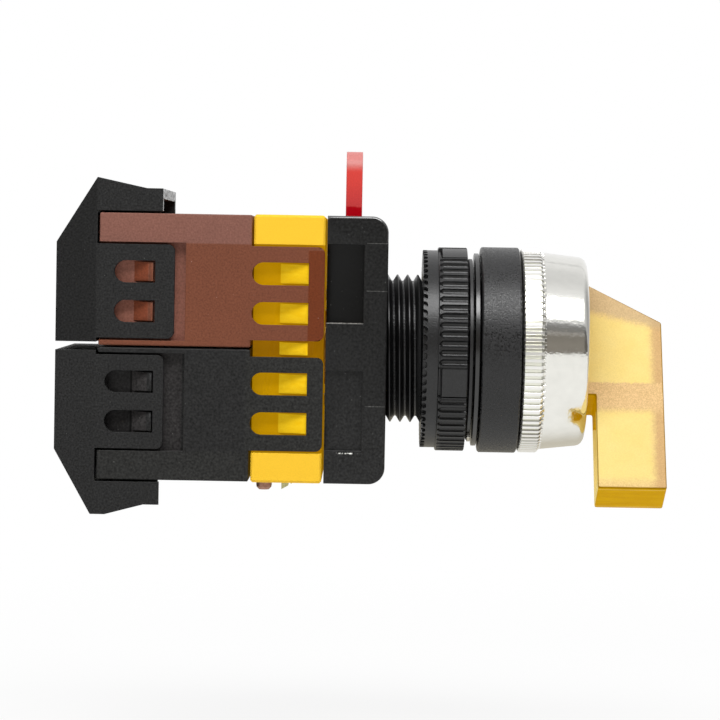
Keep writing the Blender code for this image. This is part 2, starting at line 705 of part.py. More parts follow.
def make_index_ring():
    """Open ring in the chamber. Its ends stop the lug at both positions."""
    top = math.pi / 2
    start = top + LUG_HALF_ANGLE + HANDLE_TRAVEL + STOP_CLEARANCE
    end = top - LUG_HALF_ANGLE - STOP_CLEARANCE + 2 * math.pi
    outline = arc((0, 0), INDEX_RADIUS, start, end, RING_SEGMENTS)
    outline += arc((0, 0), INDEX_BORE, end, start, RING_SEGMENTS)
    return finish(prism("index_ring", "X", [outline], COLLAR_REAR, COLLAR_FRONT), NYLON)


def make_chamber_rings():
    washer = ring("wave_washer", INDEX_RADIUS, RING_BORE, WASHER_FRONT, WASHER_REAR, RING_SEGMENTS)
    half = (SEAL_FRONT - SEAL_REAR) / 2
    middle = (RING_BORE + INDEX_RADIUS) / 2
    side = (INDEX_RADIUS - RING_BORE) / 2
    section = []
    for index in range(SEAL_SIDES):
        angle = math.pi / 2 - 2 * math.pi * index / SEAL_SIDES
        section.append((middle + side * math.cos(angle),
                        (SEAL_FRONT + SEAL_REAR) / 2 + half * math.sin(angle)))
    seal = turned("spindle_seal", section, RING_SEGMENTS)
    finish(washer, STEEL)
    finish(seal, RUBBER)


def make_cam_follower():
    follower = ring("cam_follower", FOLLOWER_RADIUS, SLEEVE_BORE, FOLLOWER_FRONT, FOLLOWER_REAR,
                    RING_SEGMENTS)
    for sign, side in ((1, "top"), (-1, "bottom")):
        span = sorted((sign * LEG_INNER, sign * LEG_OUTER))
        nose_outline = [(FOLLOWER_FRONT - GAP, -NOSE_RADIUS)]
        nose_outline += arc((NOSE_FRONT - NOSE_RADIUS, 0), NOSE_RADIUS, -math.pi / 2, math.pi / 2,
                            CORNER_STEPS)
        nose_outline += [(FOLLOWER_FRONT - GAP, NOSE_RADIUS)]
        nose = prism("nose_" + side, "Z", [nose_outline], *span)
        leg = block("leg_" + side, (PLUNGER_FRONT + GAP, FOLLOWER_REAR + GAP),
                    (-LEG_HALF_WIDTH, LEG_HALF_WIDTH), span)
        extend(follower, nose, leg)
    return finish(follower, NYLON)


# Panel side pieces

def make_gasket():
    gasket = ring("gasket", GASKET_RADIUS, BARREL_RADIUS + GAP, GASKET_THICKNESS, 0)
    return finish(gasket, RUBBER)


def make_spacer_and_key():
    spacer = ring("spacer_ring", SPACER_RADIUS, BARREL_RADIUS + GAP, -GAP, SPACER_REAR)
    turn = Matrix.Rotation(-LOCATING_KEY_ANGLE, 4, "X")
    half = LOCATING_KEY_WIDTH / 2
    key = block("locating_key", (SPACER_REAR, -GAP), (-half, half),
                (-LOCATING_KEY_OUTER, -BARREL_RADIUS - GAP))
    notch = block("key_notch", (SPACER_REAR - GAP, 0), (-half - GAP, half + GAP),
                  (-LOCATING_KEY_OUTER, -BARREL_RADIUS))
    for piece in (key, notch):
        piece.matrix_world = turn @ piece.matrix_world
    cut(spacer, notch)
    finish(spacer, BLACK)
    finish(key, STEEL)


def radial_cutters(name, angles, radius, depth, width, front, rear):
    """Boxes round the axis, joined into one mesh, that cut grooves along X."""
    shape = bmesh.new()
    for angle in angles:
        matrix = Matrix.Rotation(angle, 4, "X")
        matrix @= Matrix.Translation(((front + rear) / 2, radius, 0))
        matrix @= Matrix.Diagonal((front - rear, 2 * depth, width, 1))
        bmesh.ops.create_cube(shape, size=1, matrix=matrix)
    mesh = bpy.data.meshes.new(name)
    shape.to_mesh(mesh)
    shape.free()
    return place(mesh, name)


def make_panel_nut():
    profile = [
        (NUT_RADIUS, NUT_FRONT),
        (NUT_RADIUS, NUT_STEP),
        (NUT_COLLAR_RADIUS, NUT_STEP),
        (NUT_COLLAR_RADIUS, NUT_REAR),
        (THREAD_RADIUS + GAP, NUT_REAR),
        (NUT_BORE, NUT_REAR + THREAD_DEPTH),
        (NUT_BORE, NUT_FRONT),
    ]
    nut = turned("panel_nut", profile, NUT_SEGMENTS)
    sector = 2 * math.pi / NUT_PADS
    fluted = sector - NUT_PAD_ANGLE
    pitch = fluted / FLUTES_PER_SECTOR
    angles = []
    for pad in range(NUT_PADS):
        start = NUT_FIRST_PAD + pad * sector + NUT_PAD_ANGLE / 2 + pitch / 2
        angles += [start + pitch * index for index in range(FLUTES_PER_SECTOR)]
    flutes = radial_cutters("flutes", angles, NUT_RADIUS, FLUTE_DEPTH, FLUTE_WIDTH,
                            NUT_FRONT + GAP, NUT_STEP + GAP)
    cut(nut, flutes)
    return finish(nut, BLACK)


# Adaptor

def make_adaptor():
    corner = ADAPTOR_CORNER
    top = BODY_HALF_HEIGHT
    outline = [(ADAPTOR_REAR, top)]
    outline += arc((ADAPTOR_FRONT - corner, top - corner), corner, math.pi / 2, 0, CORNER_STEPS)
    outline += arc((ADAPTOR_FRONT - corner, corner - top), corner, 0, -math.pi / 2, CORNER_STEPS)
    outline += [(ADAPTOR_REAR, -top)]
    adaptor = prism("adaptor_housing", "Y", [outline], -BODY_HALF_WIDTH, BODY_HALF_WIDTH)
    cavity_front = LOCK_RING_FRONT + GAP
    bore = rod("adaptor_bore", ADAPTOR_BORE, ADAPTOR_FRONT + GAP, ADAPTOR_REAR - GAP,
               segments=RING_SEGMENTS)
    cavity = rod("lock_cavity", LOCK_CAVITY_RADIUS, cavity_front, ADAPTOR_REAR - GAP,
                 segments=RING_SEGMENTS)
    cut(adaptor, bore, cavity, lever_slot(cavity_front))
    for sign, side in ((-1, "near"), (1, "far")):
        for name, span, depth in (
                ("upper", (UPPER_POCKET_BOTTOM, UPPER_POCKET_TOP), SIDE_POCKET_DEPTH),
                ("lower", (LOWER_POCKET_BOTTOM, LOWER_POCKET_TOP), LOWER_POCKET_DEPTH)):
            depths = sorted((sign * (BODY_HALF_WIDTH - depth), sign * (BODY_HALF_WIDTH + GAP)))
            pocket = block(f"{name}_{side}_pocket",
                           (ADAPTOR_REAR - GAP, ADAPTOR_REAR + SIDE_POCKET_LENGTH), depths, span)
            cut(adaptor, pocket)
    return finish(adaptor, DARK_GREY)


def lever_slot(front):
    """Slot in the adaptor's top, as long as the lever's swing away from the near side."""
    half = LEVER_HALF_WIDTH
    drop = half * math.sin(LOCK_TRAVEL)
    reach = (BODY_HALF_HEIGHT + drop) / math.cos(LOCK_TRAVEL)
    far = half * math.cos(LOCK_TRAVEL) + reach * math.sin(LOCK_TRAVEL)
    root = math.sqrt(LOCK_CAVITY_RADIUS ** 2 - half ** 2) * math.cos(LOCK_TRAVEL) - drop
    return block("lever_slot", (LOCK_RING_REAR - GAP, front), (-half - GAP, far + GAP),
                 (root - GAP, BODY_HALF_HEIGHT + GAP))


def make_lock_ring():
    """Lock ring and its lever in one moulding. Two notches let the bayonet lugs through."""
    half = LEVER_HALF_WIDTH
    root = math.asin(half / LOCK_RING_RADIUS)
    top = math.pi / 2
    outline = arc((0, 0), LOCK_RING_RADIUS, top + root, top - root + 2 * math.pi, RING_SEGMENTS)
    corner = LEVER_ROUND
    outline += arc((half - corner, LEVER_TOP - corner), corner, 0, top, CORNER_STEPS)
    outline += arc((corner - half, LEVER_TOP - corner), corner, top, math.pi, CORNER_STEPS)
    notch_half = math.asin((BAYONET_HALF_WIDTH + GAP) / BAYONET_RADIUS)
    bore = []
    for turn in (0, math.pi):
        notch = top + LOCK_TRAVEL + turn
        bore += arc((0, 0), BAYONET_CLEAR, notch - notch_half, notch + notch_half, CORNER_STEPS)
        bore += arc((0, 0), BARREL_RADIUS + GAP, notch + notch_half,
                    notch - notch_half + math.pi, RING_SEGMENTS // 2)
    ring_piece = prism("lock_lever_ring", "X", [outline, bore], LOCK_RING_REAR, LOCK_RING_FRONT)
    return finish(ring_piece, RED)


def make_lock_retainer():
    retainer = ring("lock_retainer", LOCK_RING_RADIUS, BAYONET_CLEAR, RETAINER_FRONT,
                    RETAINER_FRONT - RETAINER_THICKNESS, RING_SEGMENTS)
    return finish(retainer, STEEL)


# Lamp

def ramp_hook(name, front, length, floor, height, side, low, high):
    """Snap hook on a side wall: a ramp that rises to the front and ends in a steep face."""
    root = floor - GAP
    outline = [
        (front - length, side * root),
        (front - length, side * floor),
        (front - HOOK_CREST, side * (floor + height)),
        (front, side * (floor + height)),
        (front, side * root),
    ]
    return prism(name, "Z", [outline], low, high)


def make_lamp_block():
    lamp_block = block("lamp_block", (LAMP_BLOCK_REAR, LAMP_BLOCK_FRONT),
                       (-BODY_HALF_WIDTH, BODY_HALF_WIDTH), (-BODY_HALF_HEIGHT, BODY_HALF_HEIGHT))
    soften(lamp_block, LAMP_BLOCK_EDGE)
    ends = (LAMP_BLOCK_REAR - GAP, LAMP_BLOCK_FRONT + GAP)
    for sign, side in ((-1, "near"), (1, "far")):
        recess = block("wing_recess_" + side, ends,
                       sorted((sign * WING_RECESS, sign * (BODY_HALF_WIDTH + GAP))),
                       (-WING_TOP - GAP, WING_TOP + GAP))
        cut(lamp_block, recess)
        rows = [(0.0, MIDDLE_HOOK_HALF_WIDTH)]
        for row in HOOK_ROWS:
            rows += [(row, HOOK_HALF_WIDTH), (-row, HOOK_HALF_WIDTH)]
        for index, (row, half) in enumerate(rows):
            hook = ramp_hook(f"lamp_hook_{side}_{index}", WING_WINDOW_FRONT, HOOK_LENGTH,
                             WING_RECESS, HOOK_HEIGHT, sign, row - half, row + half)
            extend(lamp_block, hook)
    cut(lamp_block, rod("socket_bore", SOCKET_RADIUS + GAP, ends[1], ends[0],
                        segments=RING_SEGMENTS))
    for sign, side in ((1, "top"), (-1, "bottom")):
        passage = block("leg_passage_" + side, ends, (-LEG_HALF_WIDTH - GAP, LEG_HALF_WIDTH + GAP),
                        sorted((sign * (LEG_INNER - GAP), sign * (LEG_OUTER + GAP))))
        cut(lamp_block, passage)
    hole_depth = LAMP_SCREW_LENGTH - LAMP_TERMINAL_LEAD + GAP
    for index, (x, y) in enumerate(LAMP_SCREWS):
        hole = rod(f"lamp_screw_hole_{index}", TERMINAL_SCREW_RADIUS + GAP, hole_depth, -hole_depth)
        hole.matrix_world = Matrix.Translation((x, y, -BODY_HALF_HEIGHT)) @ Matrix.Rotation(
            math.pi / 2, 4, "Y") @ hole.matrix_world
        cut(lamp_block, hole)
    for index, (x, y) in enumerate(LAMP_TERMINALS):
        thick = LAMP_TERMINAL_THICKNESS / 2 + GAP
        wide = LAMP_TERMINAL_HALF_WIDTH + GAP
        slot = block(f"lamp_terminal_slot_{index}", (x - thick, x + thick), (y - wide, y + wide),
                     (-BODY_HALF_HEIGHT - GAP, -SOCKET_BORE + GAP))
        cut(lamp_block, slot)
    return finish(lamp_block, YELLOW)


def make_lamp_pieces():
    socket = ring("lamp_socket", SOCKET_RADIUS, SOCKET_BORE, SOCKET_FRONT, SOCKET_REAR,
                  RING_SEGMENTS)
    tip = LAMP_REAR + LAMP_LENGTH
    dome = arc((0, tip - LAMP_RADIUS), LAMP_RADIUS, math.pi / 2, 0, CORNER_STEPS)
    lamp = turned("lamp", dome + [(LAMP_RADIUS, LAMP_REAR), (0, LAMP_REAR)], RING_SEGMENTS,
                  closed=False)
    contact_front = SOCKET_REAR + CENTRE_CONTACT_LENGTH
    disc_front = SOCKET_REAR + CENTRE_DISC_THICKNESS
    disc_radius = SOCKET_BORE - GAP
    centre = turned("lamp_centre_contact", [
        (0, contact_front), (CENTRE_PIN_RADIUS, contact_front), (CENTRE_PIN_RADIUS, disc_front),
        (disc_radius, disc_front), (disc_radius, SOCKET_REAR), (0, SOCKET_REAR),
    ], RING_SEGMENTS, closed=False)
    finish(socket, BRASS)
    finish(lamp, GLASS)
    finish(centre, BRASS)
    below = -BODY_HALF_HEIGHT - LAMP_TERMINAL_LEAD
    inner_edge = LAMP_TERMINAL_Y - LAMP_TERMINAL_HALF_WIDTH
    strip_top = -math.sqrt((SOCKET_RADIUS + GAP) ** 2 - inner_edge ** 2) - GAP
    for index, (x, y) in enumerate(LAMP_TERMINALS):
        half = LAMP_TERMINAL_THICKNESS / 2
        strip = block(f"lamp_terminal_{index + 1}", (x - half, x + half),
                      (y - LAMP_TERMINAL_HALF_WIDTH, y + LAMP_TERMINAL_HALF_WIDTH),
                      (below, strip_top))
        finish(strip, SILVER)
    length = LAMP_SCREW_LENGTH
    radius = TERMINAL_SCREW_RADIUS
    for index, (x, y) in enumerate(LAMP_SCREWS):
        screw = turned(f"lamp_screw_{index + 1}", [
            (0, length), (radius, length), (radius, TERMINAL_SCREW_CHAMFER),
            (radius - TERMINAL_SCREW_CHAMFER, 0), (0, 0),
        ], SMALL_SEGMENTS, closed=False)
        screw.matrix_world = Matrix.Translation((x, y, below))
        finish(screw, BRONZE)


# Contact blocks

def window(rear, front, height, row):
    """Outline of a window with a round rear end and a square front end."""
    radius = height / 2
    outline = arc((rear + radius, row), radius, math.pi / 2, 3 * math.pi / 2, CORNER_STEPS)
    return outline + [(front, row - radius), (front, row + radius)]


def side_wing(name, sign, side, rear, front, thickness, windows):
    """Flat side arm with two windows. Its front corners are rounded."""
    corner = WING_CORNER
    outline = [(rear, WING_TOP)]
    outline += arc((front - corner, WING_TOP - corner), corner, math.pi / 2, 0, CORNER_STEPS)
    outline += arc((front - corner, WING_BOTTOM + corner), corner, 0, -math.pi / 2, CORNER_STEPS)
    outline += [(rear, WING_BOTTOM)]
    outlines = [mirrored(outline, sign)] + [mirrored(opening, sign) for opening in windows]
    inner = side * (BODY_HALF_WIDTH - thickness)
    return prism(name, "Y", outlines, *sorted((inner, side * BODY_HALF_WIDTH)))


def make_contact_block(module):
    name = module["name"]
    sign = module["sign"]

    def span(low, high):
        return sorted((sign * low, sign * high))

    housing = block(name + "_housing", (BLOCK_REAR, BLOCK_FRONT),
                    (-BODY_HALF_WIDTH, BODY_HALF_WIDTH), span(BLOCK_HALF_GAP, BLOCK_TOP))
    soften(housing, BLOCK_EDGE)
    axis_z = sign * LEG_AXIS
    chamber = block(name + "_chamber", (CONTACT_CHAMBER_REAR, CONTACT_CHAMBER_FRONT),
                    (-CHAMBER_HALF_WIDTH, CHAMBER_HALF_WIDTH),
                    span(LEG_AXIS - CARRIER_HALF_HEIGHT - 2 * GAP, TERMINAL_Z + SCREW_RADIUS + GAP))
    button = block(name + "_button_hole", (CONTACT_CHAMBER_FRONT - GAP, BLOCK_FRONT + GAP),
                   (-LEG_HALF_WIDTH - GAP, LEG_HALF_WIDTH + GAP),
                   span(LEG_INNER - GAP, LEG_OUTER + GAP))
    seat = rod(name + "_spring_seat", SPRING_RADIUS + SPRING_WIRE + GAP,
               CONTACT_CHAMBER_REAR + GAP, SPRING_REAR - GAP, z=axis_z)
    cut(housing, chamber, button, seat)
    strip_low = LEG_AXIS - BRIDGE_HALF_HEIGHT
    strip_high = LEG_AXIS + BRIDGE_HALF_HEIGHT
    for side, letter in ((-1, "near"), (1, "far")):
        label = f"{name}_{letter}_"
        recess = block(label + "terminal_recess", (BLOCK_REAR - GAP, TERMINAL_FLOOR),
                       sorted((side * RIB_HALF_WIDTH, side * TERMINAL_HALF_WIDTH)),
                       span(strip_low - 2 * GAP, BLOCK_TOP + GAP))
        channel = block(label + "strip_channel", (TERMINAL_FLOOR - GAP, CONTACT_CHAMBER_REAR + GAP),
                        sorted((side * (STRIP_OUTER - STRIP_THICKNESS - GAP),
                                side * (STRIP_OUTER + GAP))),
                        span(strip_low - GAP, strip_high + GAP))
        screw_hole = rod(label + "screw_hole", SCREW_RADIUS + GAP, CONTACT_CHAMBER_REAR + GAP,
                         TERMINAL_FLOOR - GAP, side * TERMINAL_Y, sign * TERMINAL_Z)
        pocket = block(label + "cap_pocket", (BLOCK_REAR - GAP, BLOCK_REAR + CAP_POCKET_LENGTH),
                       sorted((side * CAP_POCKET_FLOOR, side * (BODY_HALF_WIDTH + GAP))),
                       span(WING_BOTTOM - GAP, WING_TOP + GAP))
        cut(housing, recess, channel, screw_hole, pocket)
        windows = [window(WING_WINDOW_FRONT - WING_WINDOW_LENGTH, WING_WINDOW_FRONT,
                          WING_WINDOW_HEIGHT, row) for row in HOOK_ROWS]
        wing = side_wing(label + "wing", sign, side, BLOCK_FRONT - WING_CORNER, WING_FRONT,
                         WING_THICKNESS, windows)
        extend(housing, wing)
        for index, row in enumerate(HOOK_ROWS):
            hook = ramp_hook(f"{label}hook_{index}", BLOCK_REAR + CAP_HOOK_FRONT, CAP_HOOK_LENGTH,
                             CAP_POCKET_FLOOR, HOOK_HEIGHT, side,
                             *span(row - HOOK_HALF_WIDTH, row + HOOK_HALF_WIDTH))
            extend(housing, hook)
    return finish(housing, module["look"])


def make_plunger(module):
    name = module["name"]
    axis_z = module["sign"] * LEG_AXIS
    plunger = block(name + "_plunger", (CARRIER_REAR, CARRIER_FRONT),
                    (-CARRIER_HALF_WIDTH, CARRIER_HALF_WIDTH),
                    (axis_z - CARRIER_HALF_HEIGHT, axis_z + CARRIER_HALF_HEIGHT))
    half_leg = (LEG_OUTER - LEG_INNER) / 2
    button = block(name + "_button", (CARRIER_FRONT - GAP, PLUNGER_FRONT),
                   (-LEG_HALF_WIDTH, LEG_HALF_WIDTH), (axis_z - half_leg, axis_z + half_leg))
    half = BRIDGE_THICKNESS / 2 + GAP
    tall = BRIDGE_HALF_HEIGHT + GAP
    slot = block(name + "_bridge_slot", (BRIDGE_X - half, BRIDGE_X + half),
                 (-CARRIER_HALF_WIDTH - GAP, CARRIER_HALF_WIDTH + GAP),
                 (axis_z - tall, axis_z + tall))
    extend(plunger, button)
    cut(plunger, slot)
    half = BRIDGE_THICKNESS / 2
    bridge = block(name + "_bridge", (BRIDGE_X - half, BRIDGE_X + half),
                   (-BRIDGE_HALF_LENGTH, BRIDGE_HALF_LENGTH),
                   (axis_z - BRIDGE_HALF_HEIGHT, axis_z + BRIDGE_HALF_HEIGHT))
    return finish(plunger, NYLON), finish(bridge, BRASS)


def make_spring(module):
    """Return spring between the plunger and the block's middle rib."""
    curve = bpy.data.curves.new(module["name"] + "_spring", "CURVE")
    curve.dimensions = "3D"
    curve.bevel_depth = SPRING_WIRE
    curve.bevel_resolution = 0
    curve.use_fill_caps = True
    count = SPRING_TURNS * SPRING_POINTS_PER_TURN
    spline = curve.splines.new("POLY")
    spline.points.add(count)
    start = SPRING_FRONT - SPRING_WIRE
    length = SPRING_LENGTH - 2 * SPRING_WIRE
    for index, point in enumerate(spline.points):
        angle = 2 * math.pi * index / SPRING_POINTS_PER_TURN
        point.co = (start - length * index / count, SPRING_RADIUS * math.cos(angle),
                    SPRING_RADIUS * math.sin(angle), 1)
    guide = bpy.data.objects.new(module["name"] + "_spring", curve)
    SWITCH.objects.link(guide)
    guide.location = (0, 0, module["sign"] * LEG_AXIS)
    return finish(to_mesh(guide), STEEL)


def make_terminal(module, side, number):
    """Fixed contact, clamp plate and screw at one side of a block."""
    name = module["name"]
    sign = module["sign"]
    outer = STRIP_OUTER
    inner = outer - STRIP_THICKNESS
    pad_rear = module["contact_x"]
    pad_front = pad_rear + STRIP_THICKNESS
    pad_inner = BRIDGE_HALF_LENGTH - STRIP_HALF_WIDTH
    outline = [
        (PLATE_REAR, outer), (PLATE_REAR, inner - STRIP_THICKNESS),
        (PLATE_FRONT, inner - STRIP_THICKNESS), (PLATE_FRONT, inner), (pad_rear, inner),
        (pad_rear, pad_inner), (pad_front, pad_inner), (pad_front, outer),
    ]
    z_low, z_high = sorted((sign * (LEG_AXIS - BRIDGE_HALF_HEIGHT),
                            sign * (LEG_AXIS + BRIDGE_HALF_HEIGHT)))
    strip = prism(f"{name}_contact_{number}", "Z", [[(x, side * y) for x, y in outline]],
                  z_low, z_high)
    plate = block(f"{name}_plate_{number}", (PLATE_REAR, PLATE_FRONT),
                  sorted((side * (TERMINAL_Y - STRIP_HALF_WIDTH), side * outer)),
                  sorted((sign * (LEG_AXIS - BRIDGE_HALF_HEIGHT),
                          sign * (TERMINAL_Z + STRIP_HALF_WIDTH))))
    y = side * TERMINAL_Y
    z = sign * TERMINAL_Z
    hole = rod(f"{name}_plate_hole_{number}", SCREW_RADIUS + GAP, PLATE_FRONT + GAP,
               PLATE_REAR - GAP, y, z)
    extend(strip, plate)
    cut(strip, hole)
    clamp = block(f"{name}_clamp_{number}", (CLAMP_FRONT - CLAMP_THICKNESS, CLAMP_FRONT),
                  (y - CLAMP_HALF_SIZE, y + CLAMP_HALF_SIZE),
                  (z - CLAMP_HALF_SIZE, z + CLAMP_HALF_SIZE))
    cut(clamp, rod(f"{name}_clamp_hole_{number}", SCREW_RADIUS + GAP, CLAMP_FRONT + GAP,
                   CLAMP_FRONT - CLAMP_THICKNESS - GAP, y, z))
    screw = turned(f"{name}_screw_{number}", [
        (0, HEAD_FRONT + SCREW_LENGTH), (SCREW_RADIUS, HEAD_FRONT + SCREW_LENGTH),
        (SCREW_RADIUS, HEAD_FRONT), (SCREW_HEAD_RADIUS, HEAD_FRONT),
        (SCREW_HEAD_RADIUS, HEAD_FRONT - SCREW_HEAD_HEIGHT), (0, HEAD_FRONT - SCREW_HEAD_HEIGHT),
    ], SMALL_SEGMENTS, closed=False)
    screw.matrix_world = Matrix.Translation((0, y, z)) @ screw.matrix_world
    finish(strip, BRASS)
    finish(clamp, STEEL)
    finish(screw, STEEL)


def make_cap(module):
    """Snap-on terminal cover: a hollow hood over the screws and two side wings."""
    name = module["name"]
    sign = module["sign"]
    peak_x = CAP_BASE - CAP_PEAK_SETBACK
    flat_x = CAP_BASE + CAP_FLAT_START
    outline = [
        (CAP_REAR, CAP_BOTTOM), (CAP_REAR, CAP_SHOULDER), (peak_x, CAP_PEAK),
        (flat_x, CAP_FLAT), (HOOD_FRONT, CAP_FLAT), (HOOD_FRONT, HOOD_BOTTOM),
        (CAP_BASE, HOOD_BOTTOM), (CAP_BASE, CAP_BOTTOM),
    ]
    cap = prism(name + "_cap", "Y", [mirrored(outline, sign)], -BODY_HALF_WIDTH, BODY_HALF_WIDTH)
    walls = [
        (CAP_BASE + GAP, CAP_BOTTOM), (CAP_REAR, CAP_BOTTOM), (CAP_REAR, CAP_SHOULDER),
        (peak_x, CAP_PEAK), (flat_x, CAP_FLAT), (HOOD_FRONT + GAP, CAP_FLAT),
    ]
    hollow_outline = inset(walls, CAP_WALL)
    hollow_outline += [(HOOD_FRONT + GAP, HOOD_BOTTOM - GAP), (CAP_BASE + GAP, HOOD_BOTTOM - GAP)]
    inner_width = CAP_POCKET_FLOOR
    hollow = prism(name + "_cap_hollow", "Y", [mirrored(hollow_outline, sign)],
                   -inner_width, inner_width)
    cut(cap, hollow)
    rear, front = module["window"]
    for side, letter in ((-1, "near"), (1, "far")):
        windows = [window(CAP_BASE + rear, CAP_BASE + front, CAP_WINDOW_HEIGHT, row)
                   for row in HOOK_ROWS]
        wing = side_wing(f"{name}_cap_{letter}_wing", sign, side, CAP_BASE - CAP_WALL,
                         CAP_BASE + module["wing_length"], CAP_WING_THICKNESS, windows)
        extend(cap, wing)
        hole = rod(f"{name}_cap_{letter}_hole", SCREWDRIVER_RADIUS, CAP_REAR + 2 * CAP_WALL,
                   CAP_REAR - GAP, side * TERMINAL_Y, sign * TERMINAL_Z)
        cut(cap, hole)
    return finish(cap, BLACK)


clear_scene()
SWITCH = new_collection("selector_switch")
CUTTERS = new_collection("cutters")

make_head_body()
make_bezel()
make_gasket()
make_spacer_and_key()
make_panel_nut()
make_index_ring()
make_chamber_rings()
knob_axis = axis_empty("knob_axis", (0, 0, 0))
carry(knob_axis, make_handle(), make_cam_sleeve())
follower_axis = axis_empty("follower_axis", (FOLLOWER_REAR, 0, 0))
carry(follower_axis, make_cam_follower())

make_adaptor()
make_lock_retainer()
lock_axis = axis_empty("lock_axis", (LOCK_RING_REAR, 0, 0))
carry(lock_axis, make_lock_ring())

make_lamp_block()
make_lamp_pieces()

for contact_module in BLOCKS:
    make_contact_block(contact_module)
    plunger_axis = axis_empty(contact_module["name"] + "_plunger_axis",
                              (PLUNGER_FRONT, 0, contact_module["sign"] * LEG_AXIS))
    carry(plunger_axis, *make_plunger(contact_module))
    make_spring(contact_module)
    for terminal_side, terminal_number in ((-1, 1), (1, 2)):
        make_terminal(contact_module, terminal_side, terminal_number)
    make_cap(contact_module)
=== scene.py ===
"""Finish and fine surface of a 22 mm illuminated selector switch, whose axis lies along X.

Lengths are in metres. Outlines, the radii of rings and what Value.past is given are in mm."""

import math

import bmesh
import bpy
from mathutils import Matrix, Vector


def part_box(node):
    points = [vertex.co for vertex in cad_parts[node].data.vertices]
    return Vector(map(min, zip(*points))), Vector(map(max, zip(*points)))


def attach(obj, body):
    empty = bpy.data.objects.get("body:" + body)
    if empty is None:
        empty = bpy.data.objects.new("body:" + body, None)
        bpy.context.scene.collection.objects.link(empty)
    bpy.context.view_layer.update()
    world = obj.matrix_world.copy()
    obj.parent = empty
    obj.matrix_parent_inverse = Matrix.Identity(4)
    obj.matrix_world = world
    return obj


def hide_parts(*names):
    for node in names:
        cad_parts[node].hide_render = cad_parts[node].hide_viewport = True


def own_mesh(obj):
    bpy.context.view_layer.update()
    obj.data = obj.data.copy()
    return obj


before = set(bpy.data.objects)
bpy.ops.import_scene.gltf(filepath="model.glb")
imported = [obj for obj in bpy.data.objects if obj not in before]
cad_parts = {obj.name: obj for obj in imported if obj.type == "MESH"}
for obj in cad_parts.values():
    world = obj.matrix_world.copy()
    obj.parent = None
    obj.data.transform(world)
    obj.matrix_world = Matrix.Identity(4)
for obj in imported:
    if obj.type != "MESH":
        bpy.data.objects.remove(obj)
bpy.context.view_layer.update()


# The studio is a white room with a pale floor below the switch, a broad soft lamp above the front
# and a dark card near the camera, which chrome shows as a band. The camera stands slightly high
# and rolled, so that the axis of the switch runs down to the right.
MM = 0.001
CAMERA_PLACE = Vector((-16.0, -440.0, 14.1)) * MM
CAMERA_AIM = Vector((-16.71, 0.0, -1.88)) * MM
CAMERA_ROLL = 0.018
CAMERA_LENS = 147.4
FLOOR_HEIGHT = -60 * MM
FLOOR_SIZE = 4.0
FLOOR_GLOW = 0.86
FLOOR_PATCH = (60 * MM, 260 * MM)
FLOOR_FRONT = (1.0, 1.0, 0.98)
# Behind the switch, the floor that reflections see carries a painted shadow.
FLOOR_SHADOW_BEHIND = (0.60, 0.56, 0.46)
BEHIND_REACH = (-10 * MM, 60 * MM)
END_WALL = 0.5
END_WALL_REACH = (0.45, 0.85)
LAMP_PLACE = Vector((-20.0, -290.0, 420.0)) * MM
LAMP_WIDTH = 0.60
LAMP_HEIGHT = 0.22
LAMP_POWER = 2.9
ROOM_LIGHT = 0.66
WHITE = (1, 1, 1)


class Value:
    """A number or colour that changes over a surface. Operators on it add Math nodes."""

    def __init__(self, nodes, socket):
        self.nodes = nodes
        self.socket = socket

    def work(self, operation, *terms):
        return self.nodes.add("ShaderNodeMath", {"operation": operation}, dict(enumerate(terms)))

    def __add__(self, other):
        return self.work("ADD", self, other)

    def __sub__(self, other):
        return self.work("SUBTRACT", self, other)

    def __rsub__(self, other):
        return self.work("SUBTRACT", other, self)

    def __mul__(self, other):
        return self.work("MULTIPLY", self, other)

    __radd__ = __add__
    __rmul__ = __mul__

    def __abs__(self):
        return self.work("ABSOLUTE", self)

    def rise(self, low, high):
        """0 below low, 1 above high and smooth between. It falls where high is below low."""
        return self.nodes.add("ShaderNodeMapRange", {"interpolation_type": "SMOOTHSTEP"},
                              {"Value": self, "From Min": low, "From Max": high})

    def past(self, low, high):
        """The same between two lengths in mm."""
        return self.rise(low * MM, high * MM)


class Nodes:
    """The node tree of a material or of the room."""

    def __init__(self, owner):
        owner.use_nodes = True
        self.tree = owner.node_tree

    def add(self, kind, settings=None, sockets=None, output=0):
        node = self.tree.nodes.new(kind)
        for name, value in (settings or {}).items():
            if name == "stops":
                ramp = node.color_ramp.elements
                while len(ramp) < len(value):
                    ramp.new(1.0)
                for stop, (place, shade) in zip(ramp, value):
                    stop.position = place
                    stop.color = (*shade, 1)
            else:
                setattr(node, name, value)
        for name, value in (sockets or {}).items():
            self.feed(node.inputs[name], value)
        return Value(self, node.outputs[output])

    def feed(self, socket, value):
        if isinstance(value, Value):
            self.tree.links.new(value.socket, socket)
        elif socket.type == "RGBA":
            socket.default_value = (*value, 1)
        else:
            socket.default_value = value

    def blend(self, factor, first, second):
        """The first colour where the factor is 0, the second where it is 1."""
        return self.add("ShaderNodeMix", {"data_type": "RGBA"}, {0: factor, 6: first, 7: second}, 2)

    def scale(self, shade, amount):
        return self.add("ShaderNodeVectorMath", {"operation": "SCALE"}, {0: shade, "Scale": amount})


def colour(red, green, blue):
    """A screen colour from 0 to 255 as the linear colour that shaders take."""
    return tuple(level / 255 / 12.92 if level < 10.3 else ((level / 255 + 0.055) / 1.055) ** 2.4
                 for level in (red, green, blue))


def put(name, data):
    """Add an object to the scene."""
    obj = bpy.data.objects.new(name, data)
    scene.collection.objects.link(obj)
    return obj


def look_at(obj, place, aim, up):
    back = (place - aim).normalized()
    right = up.cross(back).normalized()
    turn = Matrix((right, back.cross(right), back)).transposed()
    obj.matrix_world = Matrix.Translation(place) @ turn.to_4x4()


